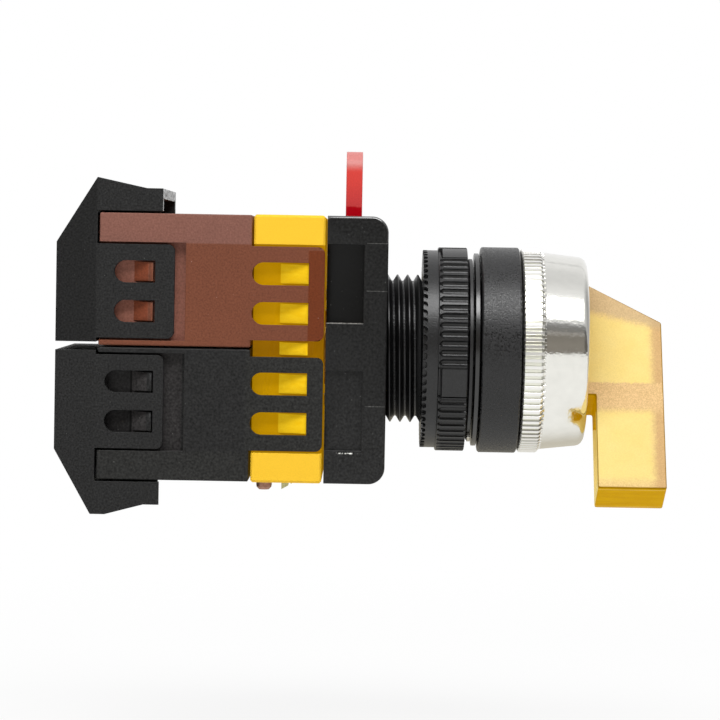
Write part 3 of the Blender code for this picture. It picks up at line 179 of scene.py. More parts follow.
scene = bpy.context.scene
scene.view_settings.view_transform = "Standard"
camera = put("camera", bpy.data.cameras.new("camera"))
camera.data.lens = CAMERA_LENS
camera.data.clip_start = 0.01
look_at(camera, CAMERA_PLACE, CAMERA_AIM, Vector((-math.sin(CAMERA_ROLL), 0, math.cos(CAMERA_ROLL))))
scene.camera = camera

room = Nodes(bpy.data.worlds.new("room"))
scene.world = bpy.data.worlds["room"]
direction = room.add("ShaderNodeTexCoord", output="Generated")
depth = room.add("ShaderNodeSeparateXYZ", sockets={0: direction}, output="Y")
height = room.add("ShaderNodeSeparateXYZ", sockets={0: direction}, output="Z")
turn = height.work("ARCTAN2", height, 0 - depth) * (1 / math.tau) + 0.5


def room_stop(degrees, level, warmth=0.0):
    """A level of light in the room, at an angle from the camera's side up over the top."""
    return ((degrees + 180) / 360, (level, level * (1 - warmth), level * (1 - 2.4 * warmth)))


studio = room.add("ShaderNodeValToRGB", {"stops": [room_stop(*stop) for stop in (
    (-180, 0.90), (-120, 0.82, 0.03), (-60, 0.98), (-10, 1.0), (-8.5, 0.12, 0.06), (-5, 0.22, 0.08),
    (8, 0.27, 0.08), (21, 0.22, 0.08), (23, 0.55, 0.04), (25, 0.20, 0.04), (33, 0.24), (37, 0.50),
    (40, 1.0), (60, 1.04), (78, 0.90), (94, 0.76), (112, 0.78), (129.5, 0.95), (131.5, 0.50),
    (133.5, 0.92), (160, 0.95),
)]}, {"Fac": turn})
seen = room.add("ShaderNodeLightPath", output="Is Camera Ray")
lit = room.add("ShaderNodeLightPath", output="Is Diffuse Ray")
background = room.tree.nodes["Background"]
room.feed(background.inputs["Color"], room.blend(seen, studio, WHITE))
forward = room.add("ShaderNodeSeparateXYZ", sockets={0: direction}, output="X")
end_wall = forward.rise(*END_WALL_REACH) * END_WALL * (1 - lit) * (1 - seen)
room.feed(background.inputs["Strength"], (1 - lit * (1 - ROOM_LIGHT)) * (1 - end_wall))

floor_mesh = bpy.data.meshes.new("floor")
half = FLOOR_SIZE / 2
floor_mesh.from_pydata([(-half, -half, FLOOR_HEIGHT), (half, -half, FLOOR_HEIGHT),
                        (half, half, FLOOR_HEIGHT), (-half, half, FLOOR_HEIGHT)], [], [(0, 1, 2, 3)])
floor = put("floor", floor_mesh)
floor_paint = bpy.data.materials.new("floor_paint")
floor.data.materials.append(floor_paint)
paint = Nodes(floor_paint)
direct, glossy, through = [paint.add("ShaderNodeLightPath", output=name) for name in (
    "Is Camera Ray", "Is Glossy Ray", "Is Transmission Ray")]
spot = paint.add("ShaderNodeTexCoord", output="Object")
away = paint.add("ShaderNodeVectorMath", {"operation": "LENGTH"}, {0: spot}, "Value")
across = paint.add("ShaderNodeSeparateXYZ", sockets={0: spot}, output="Y")
# As reflections see it, the floor behind the switch is darker and warmer: a painted shadow.
mirrored_shadow = paint.blend(across.rise(*BEHIND_REACH), FLOOR_FRONT, FLOOR_SHADOW_BEHIND)
tint = paint.blend(glossy, WHITE, mirrored_shadow)
glow = paint.add("ShaderNodeEmission", sockets={"Color": tint, "Strength": 1.0})
matt = paint.add("ShaderNodeBsdfDiffuse", sockets={"Color": (0.85, 0.85, 0.85)})
shown = (direct + glossy + through) * (FLOOR_GLOW + (1 - FLOOR_GLOW) * away.rise(*FLOOR_PATCH))
mixed = paint.add("ShaderNodeMixShader", sockets={0: shown, 1: matt, 2: glow})
paint.feed(paint.tree.nodes["Material Output"].inputs["Surface"], mixed)

lamp_light = bpy.data.lights.new("soft_lamp", "AREA")
lamp_light.shape = "RECTANGLE"
lamp_light.size = LAMP_WIDTH
lamp_light.size_y = LAMP_HEIGHT
lamp_light.energy = LAMP_POWER
look_at(put("soft_lamp", lamp_light), LAMP_PLACE, CAMERA_AIM, Vector((0, 0, 1)))


# The head is one black glass-filled nylon moulding: flange, spigot inside the bezel and hollow
# barrel with two bayonet lugs. The barrel's M22 thread is moulded with it, and shows between the
# adaptor and the panel nut.
CLOSE = 0.005 * MM
FLAT = 0.9999
ARC_CUTS = 3
WIDEST_CHORD = 0.72
SMOOTH_ANGLE = math.radians(32)
HEAD_RADII = (15.3, 15.1, 12.9, 11.3, 10.08, 9.0)
THREAD_PITCH = 1.5 * MM
THREAD_CREST = 11.0 * MM
THREAD_ROOT = 10.08 * MM
THREAD_SUNK = 10.0 * MM
THREAD_CREST_FLAT = 0.10
THREAD_ROOT_FLAT = 0.16
THREAD_TOP_CREST = -11.33 * MM
THREAD_STEPS = 120
SLIVER_AREA = 1e-14


class Finish(Nodes):
    """A material with one Principled shader, and the patterns that vary over it."""

    def __init__(self, name, sockets):
        self.material = bpy.data.materials.new(name)
        super().__init__(self.material)
        self.shader = self.tree.nodes["Principled BSDF"]
        self.place = self.add("ShaderNodeTexCoord", output="Object")
        self.x, self.y, self.z = [
            self.add("ShaderNodeSeparateXYZ", sockets={0: self.place}, output=axis) for axis in "XYZ"]
        self.set(sockets)

    def set(self, sockets):
        for name, value in sockets.items():
            self.feed(self.shader.inputs[name], value)

    def noise(self, size, detail=2.0, stretch=(1, 1, 1)):
        """Cloudy values about 0.5, whose features are about size across."""
        place = self.add("ShaderNodeVectorMath", {"operation": "MULTIPLY"},
                         {0: self.place, 1: stretch})
        return self.add("ShaderNodeTexNoise", {}, {"Vector": place, "Scale": 1 / size,
                                                   "Detail": detail})

    def bump(self, height, depth):
        """Raise the surface by a height from 0 to 1, which stands for a depth in metres."""
        self.set({"Normal": self.add("ShaderNodeBump", {}, {"Height": height, "Distance": depth})})


def plastic(name, tone, roughness, grain=0.2 * MM, sheen=0.15, cloud=0.10, mottle=1.6,
            rough_bump=0.010 * MM, speck=None, roughen=0.12, more=None):
    """Moulded plastic: a clouded tone, the fine grain of the mould and a few pale specks.

    The tone is a colour, or a function that mixes one from the finish's own patterns. More is a
    function that works out other sockets of the shader in the same way."""
    finish = Finish(name, {"Specular IOR Level": sheen})
    if more:
        finish.set(more(finish))
    base = tone(finish) if callable(tone) else tone
    cloudy = finish.scale(base, 1 - cloud + 2 * cloud * finish.noise(2.2 * MM, 3.0))
    fine = finish.noise(grain, 2.0)
    grainy = finish.scale(cloudy, 1 - mottle / 2 + mottle * fine)
    if speck:
        spots = finish.noise(0.36 * MM, 1.0).rise(0.76, 0.82)
        grainy = finish.blend(spots * 0.40, grainy, speck)
    rough = roughness(finish) if callable(roughness) else roughness
    finish.set({"Base Color": grainy, "Roughness": rough - roughen / 2 + roughen * fine})
    finish.bump(fine, rough_bump)
    return finish.material


def new_object(name, shape, material, slot, *nodes, body="switch_body", smooth=SMOOTH_ANGLE):
    """Turn a finished shape into a piece that rides on a body and stands for its solids."""
    mesh = bpy.data.meshes.new(name)
    shape.to_mesh(mesh)
    shape.free()
    mesh.shade_smooth()
    mesh.set_sharp_from_angle(angle=smooth)
    mesh.materials.append(material)
    piece = put(name, mesh)
    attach(piece, body)
    if nodes:
        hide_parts(*nodes)
    return piece


def solid_shape(node):
    """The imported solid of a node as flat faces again, ready to be refined."""
    shape = bmesh.new()
    shape.from_mesh(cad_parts[node].data)
    bmesh.ops.remove_doubles(shape, verts=shape.verts, dist=0.001 * MM)
    bmesh.ops.dissolve_limit(shape, angle_limit=math.radians(1), verts=shape.verts,
                             edges=shape.edges)
    return shape


def off_line(vertex, plane, centre):
    """How far a corner lies from a centre, measured in the plane of two axes."""
    return math.hypot(vertex.co[plane[0]] - centre[0], vertex.co[plane[1]] - centre[1])


def split_chord(chord, plane, centre, radius):
    """Split a chord of an arc and move the new corners out onto the arc."""
    last, end = chord.verts
    start_place = last.co.copy()
    span = end.co - start_place
    rest = chord
    corners = []
    for step in range(1, ARC_CUTS + 1):
        _, last = bmesh.utils.edge_split(rest, last, 0.5)
        rest = next(edge for edge in last.link_edges if end in edge.verts)
        last.co = start_place + span * step / (ARC_CUTS + 1)
        grow = radius / off_line(last, plane, centre)
        for axis, middle in zip(plane, centre):
            last.co[axis] = middle + (last.co[axis] - middle) * grow
        corners.append(last)
    return corners


def close_ends(shape, axis):
    """Fill the open rims across an axis, each with the holes that lie in it."""
    rims = []
    for edge in sorted((edge for edge in shape.edges if edge.is_boundary),
                       key=lambda edge: edge.verts[0].co[axis]):
        if not rims or edge.verts[0].co[axis] - rims[-1][0].verts[0].co[axis] > CLOSE:
            rims.append([])
        rims[-1].append(edge)
    for rim in rims:
        bmesh.ops.triangle_fill(shape, use_beauty=True, edges=rim)
    bmesh.ops.recalc_face_normals(shape, faces=shape.faces)


def about_axis(*radii):
    """Arcs round the switch's own axis, from radii in mm."""
    return [((0, 0), radius * MM) for radius in radii]


def refine_arcs(shape, axis, arcs):
    """Make a solid's arcs round lines along an axis truly round. An arc is a centre and a radius."""
    plane = [index for index in range(3) if index != axis]
    flats = [face for face in shape.faces if abs(face.normal[axis]) > FLAT]
    bmesh.ops.delete(shape, geom=flats, context="FACES")
    spare = [vertex for vertex in shape.verts
             if len(vertex.link_edges) == 2 and vertex.calc_edge_angle(1) < math.radians(1)]
    bmesh.ops.dissolve_verts(shape, verts=spare)
    for centre, radius in arcs:
        on_arc = {vertex for vertex in shape.verts
                  if abs(off_line(vertex, plane, centre) - radius) < CLOSE}
        chords = [edge for edge in shape.edges
                  if edge.verts[0] in on_arc and edge.verts[1] in on_arc
                  and abs(edge.verts[0].co[axis] - edge.verts[1].co[axis]) < CLOSE
                  and edge.calc_length() < WIDEST_CHORD * radius]
        rows = {}
        for chord in chords:
            for corner in split_chord(chord, plane, centre, radius):
                key = tuple(round(corner.co[index] / CLOSE) for index in plane)
                rows.setdefault(key, []).append(corner)
        for row in rows.values():
            row.sort(key=lambda vertex: vertex.co[axis])
            for low, high in zip(row, row[1:]):
                for face in set(low.link_faces) & set(high.link_faces):
                    bmesh.utils.face_split(face, low, high)
    close_ends(shape, axis)


def soften(piece, width):
    """The small radius that every moulded edge has."""
    edges = piece.modifiers.new("edges", "BEVEL")
    edges.width = width
    edges.segments = 2
    edges.limit_method = "ANGLE"
    edges.angle_limit = math.radians(30)
    edges.use_clamp_overlap = False
    edges.harden_normals = True
    return piece


head_black = plastic("head_black", colour(29, 29, 30), 0.38, grain=0.22 * MM, sheen=0.42,
                     cloud=0.14, mottle=3.2, rough_bump=0.055 * MM, roughen=1.0)
head_shape = solid_shape("head_body")
refine_arcs(head_shape, 0, about_axis(*HEAD_RADII))
soften(new_object("head", head_shape, head_black, "black_plastic", "head_body"), 0.06 * MM)


def thread_radius(x, share):
    """Radius of the thread at a place along it, for a share of a turn from +Y."""
    turns = (x - THREAD_TOP_CREST) / THREAD_PITCH - share + 0.25
    away = abs((turns + 0.5) % 1 - 0.5)
    slope = 0.5 - (THREAD_ROOT_FLAT + THREAD_CREST_FLAT) / 2
    rise = min(max((0.5 - THREAD_ROOT_FLAT / 2 - away) / slope, 0), 1)
    return THREAD_ROOT + (THREAD_CREST - THREAD_ROOT) * rise


def thread_shape(low, high):
    """A right-hand thread on the barrel between two places, squared off at both."""
    corners = (-THREAD_CREST_FLAT / 2, THREAD_CREST_FLAT / 2, 0.5 - THREAD_ROOT_FLAT / 2,
               0.5 + THREAD_ROOT_FLAT / 2)
    first = math.floor((low - THREAD_TOP_CREST) / THREAD_PITCH) - 3
    last = math.ceil((high - THREAD_TOP_CREST) / THREAD_PITCH) + 3
    shape = bmesh.new()
    columns = []
    for step in range(THREAD_STEPS):
        share = step / THREAD_STEPS
        angle = math.tau * share
        column = []
        for turn_number in range(first, last):
            for corner in corners:
                nominal = THREAD_TOP_CREST + (turn_number + corner + share - 0.25) * THREAD_PITCH
                x = min(max(nominal, low), high)
                far_out = abs(nominal - x) > THREAD_PITCH
                radius = THREAD_SUNK if far_out else thread_radius(x, share)
                column.append(shape.verts.new((x, radius * math.cos(angle),
                                               radius * math.sin(angle))))
        columns.append(column)
    for step, column in enumerate(columns):
        wraps = step + 1 == THREAD_STEPS
        after = columns[0][len(corners):] if wraps else columns[step + 1]
        for index in range(len(after) - 1):
            shape.faces.new((column[index], column[index + 1], after[index + 1], after[index]))
    bmesh.ops.remove_doubles(shape, verts=shape.verts, dist=0.0005 * MM)
    slivers = [face for face in shape.faces if face.calc_area() < SLIVER_AREA]
    bmesh.ops.delete(shape, geom=slivers, context="FACES")
    bmesh.ops.bridge_loops(shape, edges=[edge for edge in shape.edges if edge.is_boundary])
    bmesh.ops.recalc_face_normals(shape, faces=shape.faces)
    return shape


def thread_roughness(finish):
    """Smooth from the mould, but scuffed where the nut has turned on it."""
    last_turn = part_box("panel_nut")[0].x - 0.9 * MM
    return 0.30 + 0.5 * finish.x.rise(last_turn, last_turn + 0.3 * MM)


thread_black = plastic("thread_black", colour(12, 12, 13), thread_roughness, sheen=0.45, cloud=0.05,
                       mottle=0.6)
new_object("barrel_thread",
           thread_shape(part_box("adaptor_housing")[1].x - 0.05 * MM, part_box("panel_nut")[0].x + 0.5 * MM),
           thread_black, "black_plastic", smooth=math.radians(25))


# The bezel is a die-cast ring with a mirror chrome plate. Its rear band is knurled with straight
# grooves, and it pushes onto the spigot from the front.
KNURLS = 94
KNURL_DEPTH = 0.26 * MM
KNURL_GROOVE = 0.27
KNURL_WALL = 0.10
KNURL_LENGTH = 2.85
KNURL_WALL_SHADE = (0.17, 0.21)
KNURL_SHARES = (0.0, 0.12, 0.22, 0.24, 0.32, 0.34, 0.5, 0.66, 0.68, 0.76, 0.78, 0.88)
FILLET_STEPS = 4


def rounded(corners):
    """A closed outline of (x, radius, fillet) corners in mm, as (x, radius) points in metres."""
    points = []
    count = len(corners)
    for index, (x, radius, fillet) in enumerate(corners):
        corner = Vector((x, radius))
        before = Vector(corners[index - 1][:2]) - corner
        after = Vector(corners[(index + 1) % count][:2]) - corner
        if fillet == 0:
            points.append(corner * MM)
            continue
        half_angle = before.angle(after) / 2
        reach = fillet / math.tan(half_angle)
        start = corner + before.normalized() * reach
        end = corner + after.normalized() * reach
        middle = (before.normalized() + after.normalized()).normalized()
        centre = corner + middle * fillet / math.sin(half_angle)
        first = start - centre
        sweep = first.angle_signed(end - centre)
        for step in range(FILLET_STEPS + 1):
            turned = first.copy()
            turned.rotate(Matrix.Rotation(-sweep * step / FILLET_STEPS, 2))
            points.append((centre + turned) * MM)
    return [(point.x, point.y) for point in points]


def lathe(outline, angles, sink=None):
    """Turn a closed outline about X. sink(x, radius, angle) says how far a point lies lower."""
    shape = bmesh.new()
    columns = []
    for angle in angles:
        column = []
        for x, radius in outline:
            low = radius - (sink(x, radius, angle) if sink else 0)
            column.append(shape.verts.new((x, low * math.cos(angle), low * math.sin(angle))))
        columns.append(column)
    for column, after in zip(columns, columns[1:] + columns[:1]):
        for index in range(len(column)):
            other = (index + 1) % len(column)
            shape.faces.new((column[index], column[other], after[other], after[index]))
    bmesh.ops.recalc_face_normals(shape, faces=shape.faces)
    return shape


bezel_low, bezel_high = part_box("bezel")
bezel_rear = bezel_low.x / MM
bezel_front = bezel_high.x / MM
knurl_radius = bezel_high.z
knurl_front = bezel_rear + KNURL_LENGTH


def knurl_sink(x, radius, angle):
    """Straight flat-bottomed grooves, only in the outer surface of the rear band."""
    if x > (knurl_front + 0.2) * MM or radius < knurl_radius - 0.6 * MM:
        return 0
    share = (angle * KNURLS / math.tau) % 1
    return KNURL_DEPTH * min(1, max(0, (KNURL_GROOVE - abs(share - 0.5)) / KNURL_WALL))


bezel_outline = rounded([
    (bezel_front - 1.8, 11.0, 0), (bezel_front - 0.25, 11.0, 0), (bezel_front, 11.25, 0.12),
    (bezel_front, 13.95, 1.15), (knurl_front + 0.45, 14.66, 0.2), (knurl_front + 0.12, 14.80, 0),
    (knurl_front, 15.05, 0), (knurl_front - 0.22, 15.2, 0), (bezel_rear + 0.22, 15.2, 0),
    (bezel_rear, 14.95, 0), (bezel_rear, 13.2, 0), (12.8, 13.2, 0), (bezel_front - 1.8, 12.0, 0),
])
chrome = Finish("chrome", {"Metallic": 1.0})
chrome_wear = chrome.noise(1.6 * MM, 3.0)
on_band = chrome.x.past(knurl_front + 0.16, knurl_front + 0.06)
around = chrome.z.work("ARCTAN2", chrome.z, chrome.y) * (KNURLS / math.tau) + KNURLS
off_groove = abs(around.work("FRACT", around) - 0.5)
in_groove = on_band * off_groove.rise(KNURL_GROOVE, KNURL_GROOVE - 0.08)
# Painted shade: the groove floors are a touch darker and warmer, and their walls and front ends darker
# still.
groove_end_shade = in_groove * chrome.x.past(knurl_front - 0.32, knurl_front - 0.16)
painted_wall_shade = in_groove * off_groove.rise(*KNURL_WALL_SHADE) + groove_end_shade
polished = chrome.blend(chrome_wear, colour(240, 239, 234), colour(228, 227, 222))
banded = chrome.blend(on_band, polished, colour(246, 245, 242))
grooved = chrome.blend(in_groove, banded, colour(238, 238, 226))
chrome.set({"Base Color": chrome.blend(painted_wall_shade * 0.5, grooved, colour(60, 56, 46)),
            "Roughness": 0.07 + 0.07 * chrome_wear + 0.22 * on_band})
chrome.bump(chrome.noise(0.6 * MM, 3.0) * (1 - on_band), 0.018 * MM)
knurl_angles = [math.tau * (number + share) / KNURLS
                for number in range(KNURLS) for share in KNURL_SHARES]
new_object("chrome_bezel", lathe(bezel_outline, knurl_angles, knurl_sink), chrome.material,
           "chrome", "bezel", smooth=math.radians(22))


# The gasket is a flat ring of soft black rubber with a rounded edge. Behind it lie the hard black
# spacer ring and the small bright key that stops the head from turning in the panel.
GASKET_OUTLINE = ((0.64, 10.4, 0), (0.64, 14.35, 0.06), (0.01, 14.35, 0.06), (0.01, 10.4, 0))
GASKET_STEPS = 180
SPACER_RADII = (13.5, 10.38)
gasket_angles = [math.tau * step / GASKET_STEPS for step in range(GASKET_STEPS)]
rubber = plastic("rubber", colour(14, 14, 15), 0.24, grain=0.3 * MM, sheen=0.85, mottle=0.8,
                 rough_bump=0.006 * MM)
new_object("rubber_gasket", lathe(rounded(GASKET_OUTLINE), gasket_angles), rubber, "rubber", "gasket")

part_black = plastic("part_black", colour(32, 32, 33), 0.38, sheen=0.6, speck=colour(120, 120, 118))
spacer_shape = solid_shape("spacer_ring")
refine_arcs(spacer_shape, 0, about_axis(*SPACER_RADII))
soften(new_object("spacer", spacer_shape, part_black, "black_plastic", "spacer_ring"), 0.05 * MM)

bright_steel = Finish("bright_steel", {"Metallic": 1.0})
steel_lines = bright_steel.noise(0.25 * MM, 3.0, (1, 6, 1))
bright_steel.set({"Base Color": bright_steel.blend(steel_lines, colour(225, 222, 214),
                                                   colour(190, 187, 178)),
                  "Roughness": 0.22 + 0.14 * steel_lines})
soften(new_object("bright_key", solid_shape("locating_key"), bright_steel.material, "steel",
                  "locating_key"), 0.1 * MM)


# The panel nut is black nylon. Its drum has blind flutes between four plain pads, for the fingers,
# and the rear edge of its collar has a ring of round bites, for a spanner.
nut_low, nut_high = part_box("panel_nut")
nut_rear = nut_low.x / MM
nut_front = nut_high.x / MM
NUT_COLLAR_LENGTH = 2.2
nut_step = nut_rear + NUT_COLLAR_LENGTH
NUT_RADIUS = 15.15
NUT_COLLAR_RADIUS = 14.70
NUT_BORE = 10.38
NUT_PADS = 4
NUT_FIRST_PAD = math.radians(197.3)
NUT_PAD_HALF = math.radians(9)
PAD_REAR = 0.60
PAD_GROOVE = 0.25
NUT_FLUTES = 14
FLUTE_DEPTH = 0.50
FLUTE_SHARE = 0.74
FLUTE_END = nut_step + 0.28
BITES = 72
BITE_HALF_WIDTH = 0.54
BITE_LENGTH = 0.62
BITE_DEPTH = 0.62
nut_sector = math.tau / NUT_PADS
flute_pitch = (nut_sector - 2 * NUT_PAD_HALF) / NUT_FLUTES
flute_half = FLUTE_SHARE * flute_pitch * NUT_RADIUS / 2


def nut_sink(x, radius, angle):
    """Depth of the flutes, of the step behind a pad and of the collar's bites."""
    x /= MM
    if radius < (NUT_COLLAR_RADIUS - 0.7) * MM:
        return 0
    if x < nut_step - 0.01:
        pitch = math.tau / BITES
        away = abs((angle / pitch) % 1 - 0.5) * pitch * NUT_COLLAR_RADIUS
        reach = BITE_LENGTH * math.sqrt(max(0, 1 - (away / BITE_HALF_WIDTH) ** 2))
        return BITE_DEPTH * MM if x < nut_rear + reach - 0.01 else 0
    if radius < (NUT_RADIUS - 0.4) * MM:
        return 0
    place = (angle - NUT_FIRST_PAD + NUT_PAD_HALF) % nut_sector
    if place <= 2 * NUT_PAD_HALF:
        beside = 0.015 < min(place, 2 * NUT_PAD_HALF - place) / (2 * NUT_PAD_HALF) < 0.05
        grooved = PAD_GROOVE if beside or 0.4 < x - nut_step < 0.52 else 0
        return (grooved + (NUT_RADIUS - NUT_COLLAR_RADIUS if x < nut_step + PAD_REAR else 0)) * MM
    away = abs(((place - 2 * NUT_PAD_HALF) / flute_pitch) % 1 - 0.5) * flute_pitch * NUT_RADIUS
    beside = away / flute_half
    behind = max(0, (FLUTE_END + flute_half - x) / flute_half)
    return FLUTE_DEPTH * MM * math.sqrt(max(0, 1 - beside ** 2 - behind ** 2))


flute_rows = [FLUTE_END + 0.07 * index for index in range(8)]
bite_rows = [nut_rear + 0.09 * index for index in range(9)]
nut_outline = [(nut_front - 0.12, NUT_RADIUS)]
nut_outline += [(row, NUT_RADIUS) for row in reversed(flute_rows)]
nut_outline += [(nut_step + 0.34, NUT_RADIUS), (nut_step + 0.14, NUT_RADIUS),
                (nut_step + 0.02, NUT_RADIUS - 0.12), (nut_step, NUT_COLLAR_RADIUS)]
nut_outline += [(row, NUT_COLLAR_RADIUS) for row in reversed(bite_rows)]
nut_outline += [(nut_rear, NUT_COLLAR_RADIUS - 0.75), (nut_rear, NUT_BORE + 0.92),
                (nut_rear + 0.92, NUT_BORE), (nut_front, NUT_BORE),
                (nut_front, NUT_RADIUS - 0.55), (nut_front, NUT_RADIUS - 0.12)]
nut_angles = []
for pad in range(NUT_PADS):
    pad_start = NUT_FIRST_PAD - NUT_PAD_HALF + pad * nut_sector
    nut_angles += [pad_start + 2 * NUT_PAD_HALF * (0.5 + side * share)
                   for side in (-1, 1) for share in (0, 0.1, 0.25, 0.435, 0.455, 0.48, 0.499)]
    for flute in range(NUT_FLUTES):
        flute_middle = pad_start + 2 * NUT_PAD_HALF + (flute + 0.5) * flute_pitch
        half_share = FLUTE_SHARE / 2
        rib_half = 0.5 - half_share
        nut_angles += [flute_middle + side * flute_pitch * share for side in (-1, 1) for share in (
            0, half_share - 0.24, half_share - 0.14, half_share - 0.07, half_share - 0.03,
            half_share - 0.01, half_share, half_share + 0.4 * rib_half)]
        nut_angles.append(flute_middle - flute_pitch / 2)
bite_half_angle = BITE_HALF_WIDTH / NUT_COLLAR_RADIUS
for bite in range(BITES):
    middle = (bite + 0.5) * math.tau / BITES
    nut_angles += [middle + bite_half_angle * share
                   for share in (-1.03, -0.97, -0.85, -0.6, -0.3, 0.3, 0.6, 0.85, 0.97, 1.03)]
nut_angles = sorted({round(angle % math.tau, 4) for angle in nut_angles})


def nut_tone(finish):
    """Black, and unlit in the bites of the collar."""
    out = (finish.y * finish.y + finish.z * finish.z).work("SQRT")
    collar = finish.x.past(nut_rear + 0.75, nut_rear + 0.65)
    deep = collar * out.past(NUT_COLLAR_RADIUS - 0.06, NUT_COLLAR_RADIUS - 0.2)
    return finish.blend(deep, colour(23, 23, 24), colour(3, 3, 3))


nut_black = plastic("nut_black", nut_tone, 0.33, grain=0.24 * MM, sheen=0.50, cloud=0.14,
                    mottle=2.4, rough_bump=0.030 * MM)
new_object("fluted_nut", lathe([(x * MM, radius * MM) for x, radius in nut_outline], nut_angles,
                               nut_sink),
           nut_black, "black_plastic", "panel_nut", smooth=math.radians(30))


# The lever handle and its round base are one moulding of clear amber plastic, hollow for the lamp
# light. Its broad sides are pebbled: tan over solid walls and bright over the hollow. The base
# stands behind the bezel's lip and the handle turns through 60 degrees.
HANDLE_ANGLE = math.radians(-30)
HANDLE_HALF = 3.5
INNER_HALF = 2.8 * MM
HANDLE_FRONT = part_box("lever_handle")[1].x
HEEL_REAR = 16.3 * MM
HEEL_TOP = 10.2 * MM
HEEL_TOP_FRONT = 3.3 * MM
HEEL_WALL = 4.2
HEEL_THINNING = 0.30
THINNING_START = 17.5 * MM
FACE_WALL = 1.7
CROSS_WALL = (7.0, 11.6)
TIP = 24.1 * MM
TIP_WALL = 1.3
WALL_BLUR = 0.8

amber = Finish("amber", {"Roughness": 0.42, "Specular IOR Level": 0.02})
side = amber.y * math.cos(HANDLE_ANGLE) + amber.z * math.sin(HANDLE_ANGLE)
up = amber.z * math.cos(HANDLE_ANGLE) - amber.y * math.sin(HANDLE_ANGLE)
wobble = (amber.noise(0.5 * MM, 3.0) - 0.5) * (0.9 * MM)
heel_slope = (HEEL_TOP - HEEL_TOP_FRONT) / (HANDLE_FRONT - HEEL_REAR)
heel_line = (HEEL_TOP - (amber.x - HEEL_REAR) * heel_slope - up) * math.cos(math.atan(heel_slope))
thinned = (amber.x - THINNING_START) * HEEL_THINNING
over_heel = (heel_line + thinned + wobble).past(HEEL_WALL + WALL_BLUR, HEEL_WALL - WALL_BLUR)
over_face = (HANDLE_FRONT - amber.x + wobble).past(FACE_WALL + WALL_BLUR, FACE_WALL - WALL_BLUR)
over_tip = (up + TIP + wobble).past(TIP_WALL + WALL_BLUR, TIP_WALL - WALL_BLUR)
into_cross = (wobble - up).past(CROSS_WALL[0] - 0.2, CROSS_WALL[0] + 0.2)
past_cross = (wobble - up).past(CROSS_WALL[1] - WALL_BLUR, CROSS_WALL[1] + WALL_BLUR)
over_cross = into_cross * (1 - past_cross)
hollow = (1 - over_heel) * (1 - over_face) * (1 - over_tip * 0.6) * (1 - over_cross)
out = abs(side)
broad = out.past(HANDLE_HALF - 0.10, HANDLE_HALF - 0.03) * out.past(
    HANDLE_HALF + 0.10, HANDLE_HALF + 0.03)
edge_line = out.past(HANDLE_HALF - 0.35, HANDLE_HALF - 0.22) * (1 - broad)
pebble = amber.noise(0.20 * MM, 2.0)
front_glow = amber.noise(3.0 * MM, 2.0)
bright_side = amber.blend(front_glow, colour(220, 192, 112), colour(224, 202, 132))
tan_side = amber.blend(pebble.rise(0.3, 0.7), colour(197, 162, 112), colour(215, 182, 132))
tan_side = amber.blend(over_face * (1 - over_cross) * 0.7, tan_side, colour(186, 150, 102))
tan_side = amber.blend(over_heel * 0.55, tan_side, colour(176, 156, 122))
broad_tone = amber.blend(hollow, tan_side, bright_side)
streaks = amber.noise(0.9 * MM, 3.0, (0.25, 1, 1)).rise(0.3, 0.7)
deep_tone = amber.blend(streaks, colour(159, 119, 0), colour(166, 128, 2))
# The emission is a painted glow that stands for light seen through the clear plastic: strong on the deep
# faces, faint on the broad sides.
painted_deep_glow = amber.blend(streaks, colour(134, 99, 0), colour(140, 106, 0))
inner_wall = abs(out - INNER_HALF).past(0.04, 0.02)
under = (amber.x.past(18.08, 18.04) + inner_wall) * up.past(-11.6, -11.8)
deep_tone = amber.blend(under, deep_tone, colour(190, 170, 115))
painted_deep_glow = amber.blend(under, painted_deep_glow, colour(160, 143, 74))
rim = heel_line.past(0.30, 0.14) + (HANDLE_FRONT - amber.x).past(0.22, 0.10) * 0.5
broad_tone = amber.blend(rim * 0.8, broad_tone, colour(110, 82, 44))
amber_tone = amber.blend(broad, deep_tone, broad_tone)
amber_tone = amber.blend(edge_line * 0.7, amber_tone, colour(100, 68, 0))
painted_deep_glow = amber.scale(painted_deep_glow, 1 - 0.4 * edge_line)
amber.set({"Base Color": amber.scale(amber_tone, 0.88 + 0.24 * pebble),
           "Emission Color": amber.blend(broad, painted_deep_glow, amber.scale(broad_tone, 0.1)),
           "Emission Strength": 1.0})
amber.bump(pebble * broad, 0.04 * MM)
soften(new_object("amber_lever", solid_shape("lever_handle"), amber.material, "amber_plastic",
                  "lever_handle", body="knob"), 0.12 * MM)


# Inside the head are the natural nylon sleeve with the face cam, its stop ring, the follower, a
# spring steel wave washer and a rubber seal. They are seen only where the switch is open.
def dress(node, material):
    """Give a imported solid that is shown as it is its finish."""
    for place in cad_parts[node].material_slots:
        place.material = material


nylon = plastic("nylon", colour(218, 214, 203), 0.42, sheen=0.4, cloud=0.04, mottle=0.2)
for node in ("cam_sleeve", "index_ring", "cam_follower"):
    dress(node, nylon)
dress("wave_washer", bright_steel.material)
dress("spindle_seal", rubber)


# The adaptor is a dark grey moulding that the head's bayonet locks into. It has shallow side
# pockets, and fine raised lines where the parts of its mould met, drawn as painted highlights.
ADAPTOR_CORNER = 2.4 * MM
ADAPTOR_BORES = (10.38, 12.6)
ADAPTOR_FILLET = 0.42 * MM
WITNESS_LINES = (15.5, 8.6, -8.1)
WITNESS_HALF = 0.05
SCUFF_X = -18.7 * MM
SCUFF_Z = -14.95 * MM
adaptor_low, adaptor_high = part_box("adaptor_housing")
adaptor_side = adaptor_high.y / MM


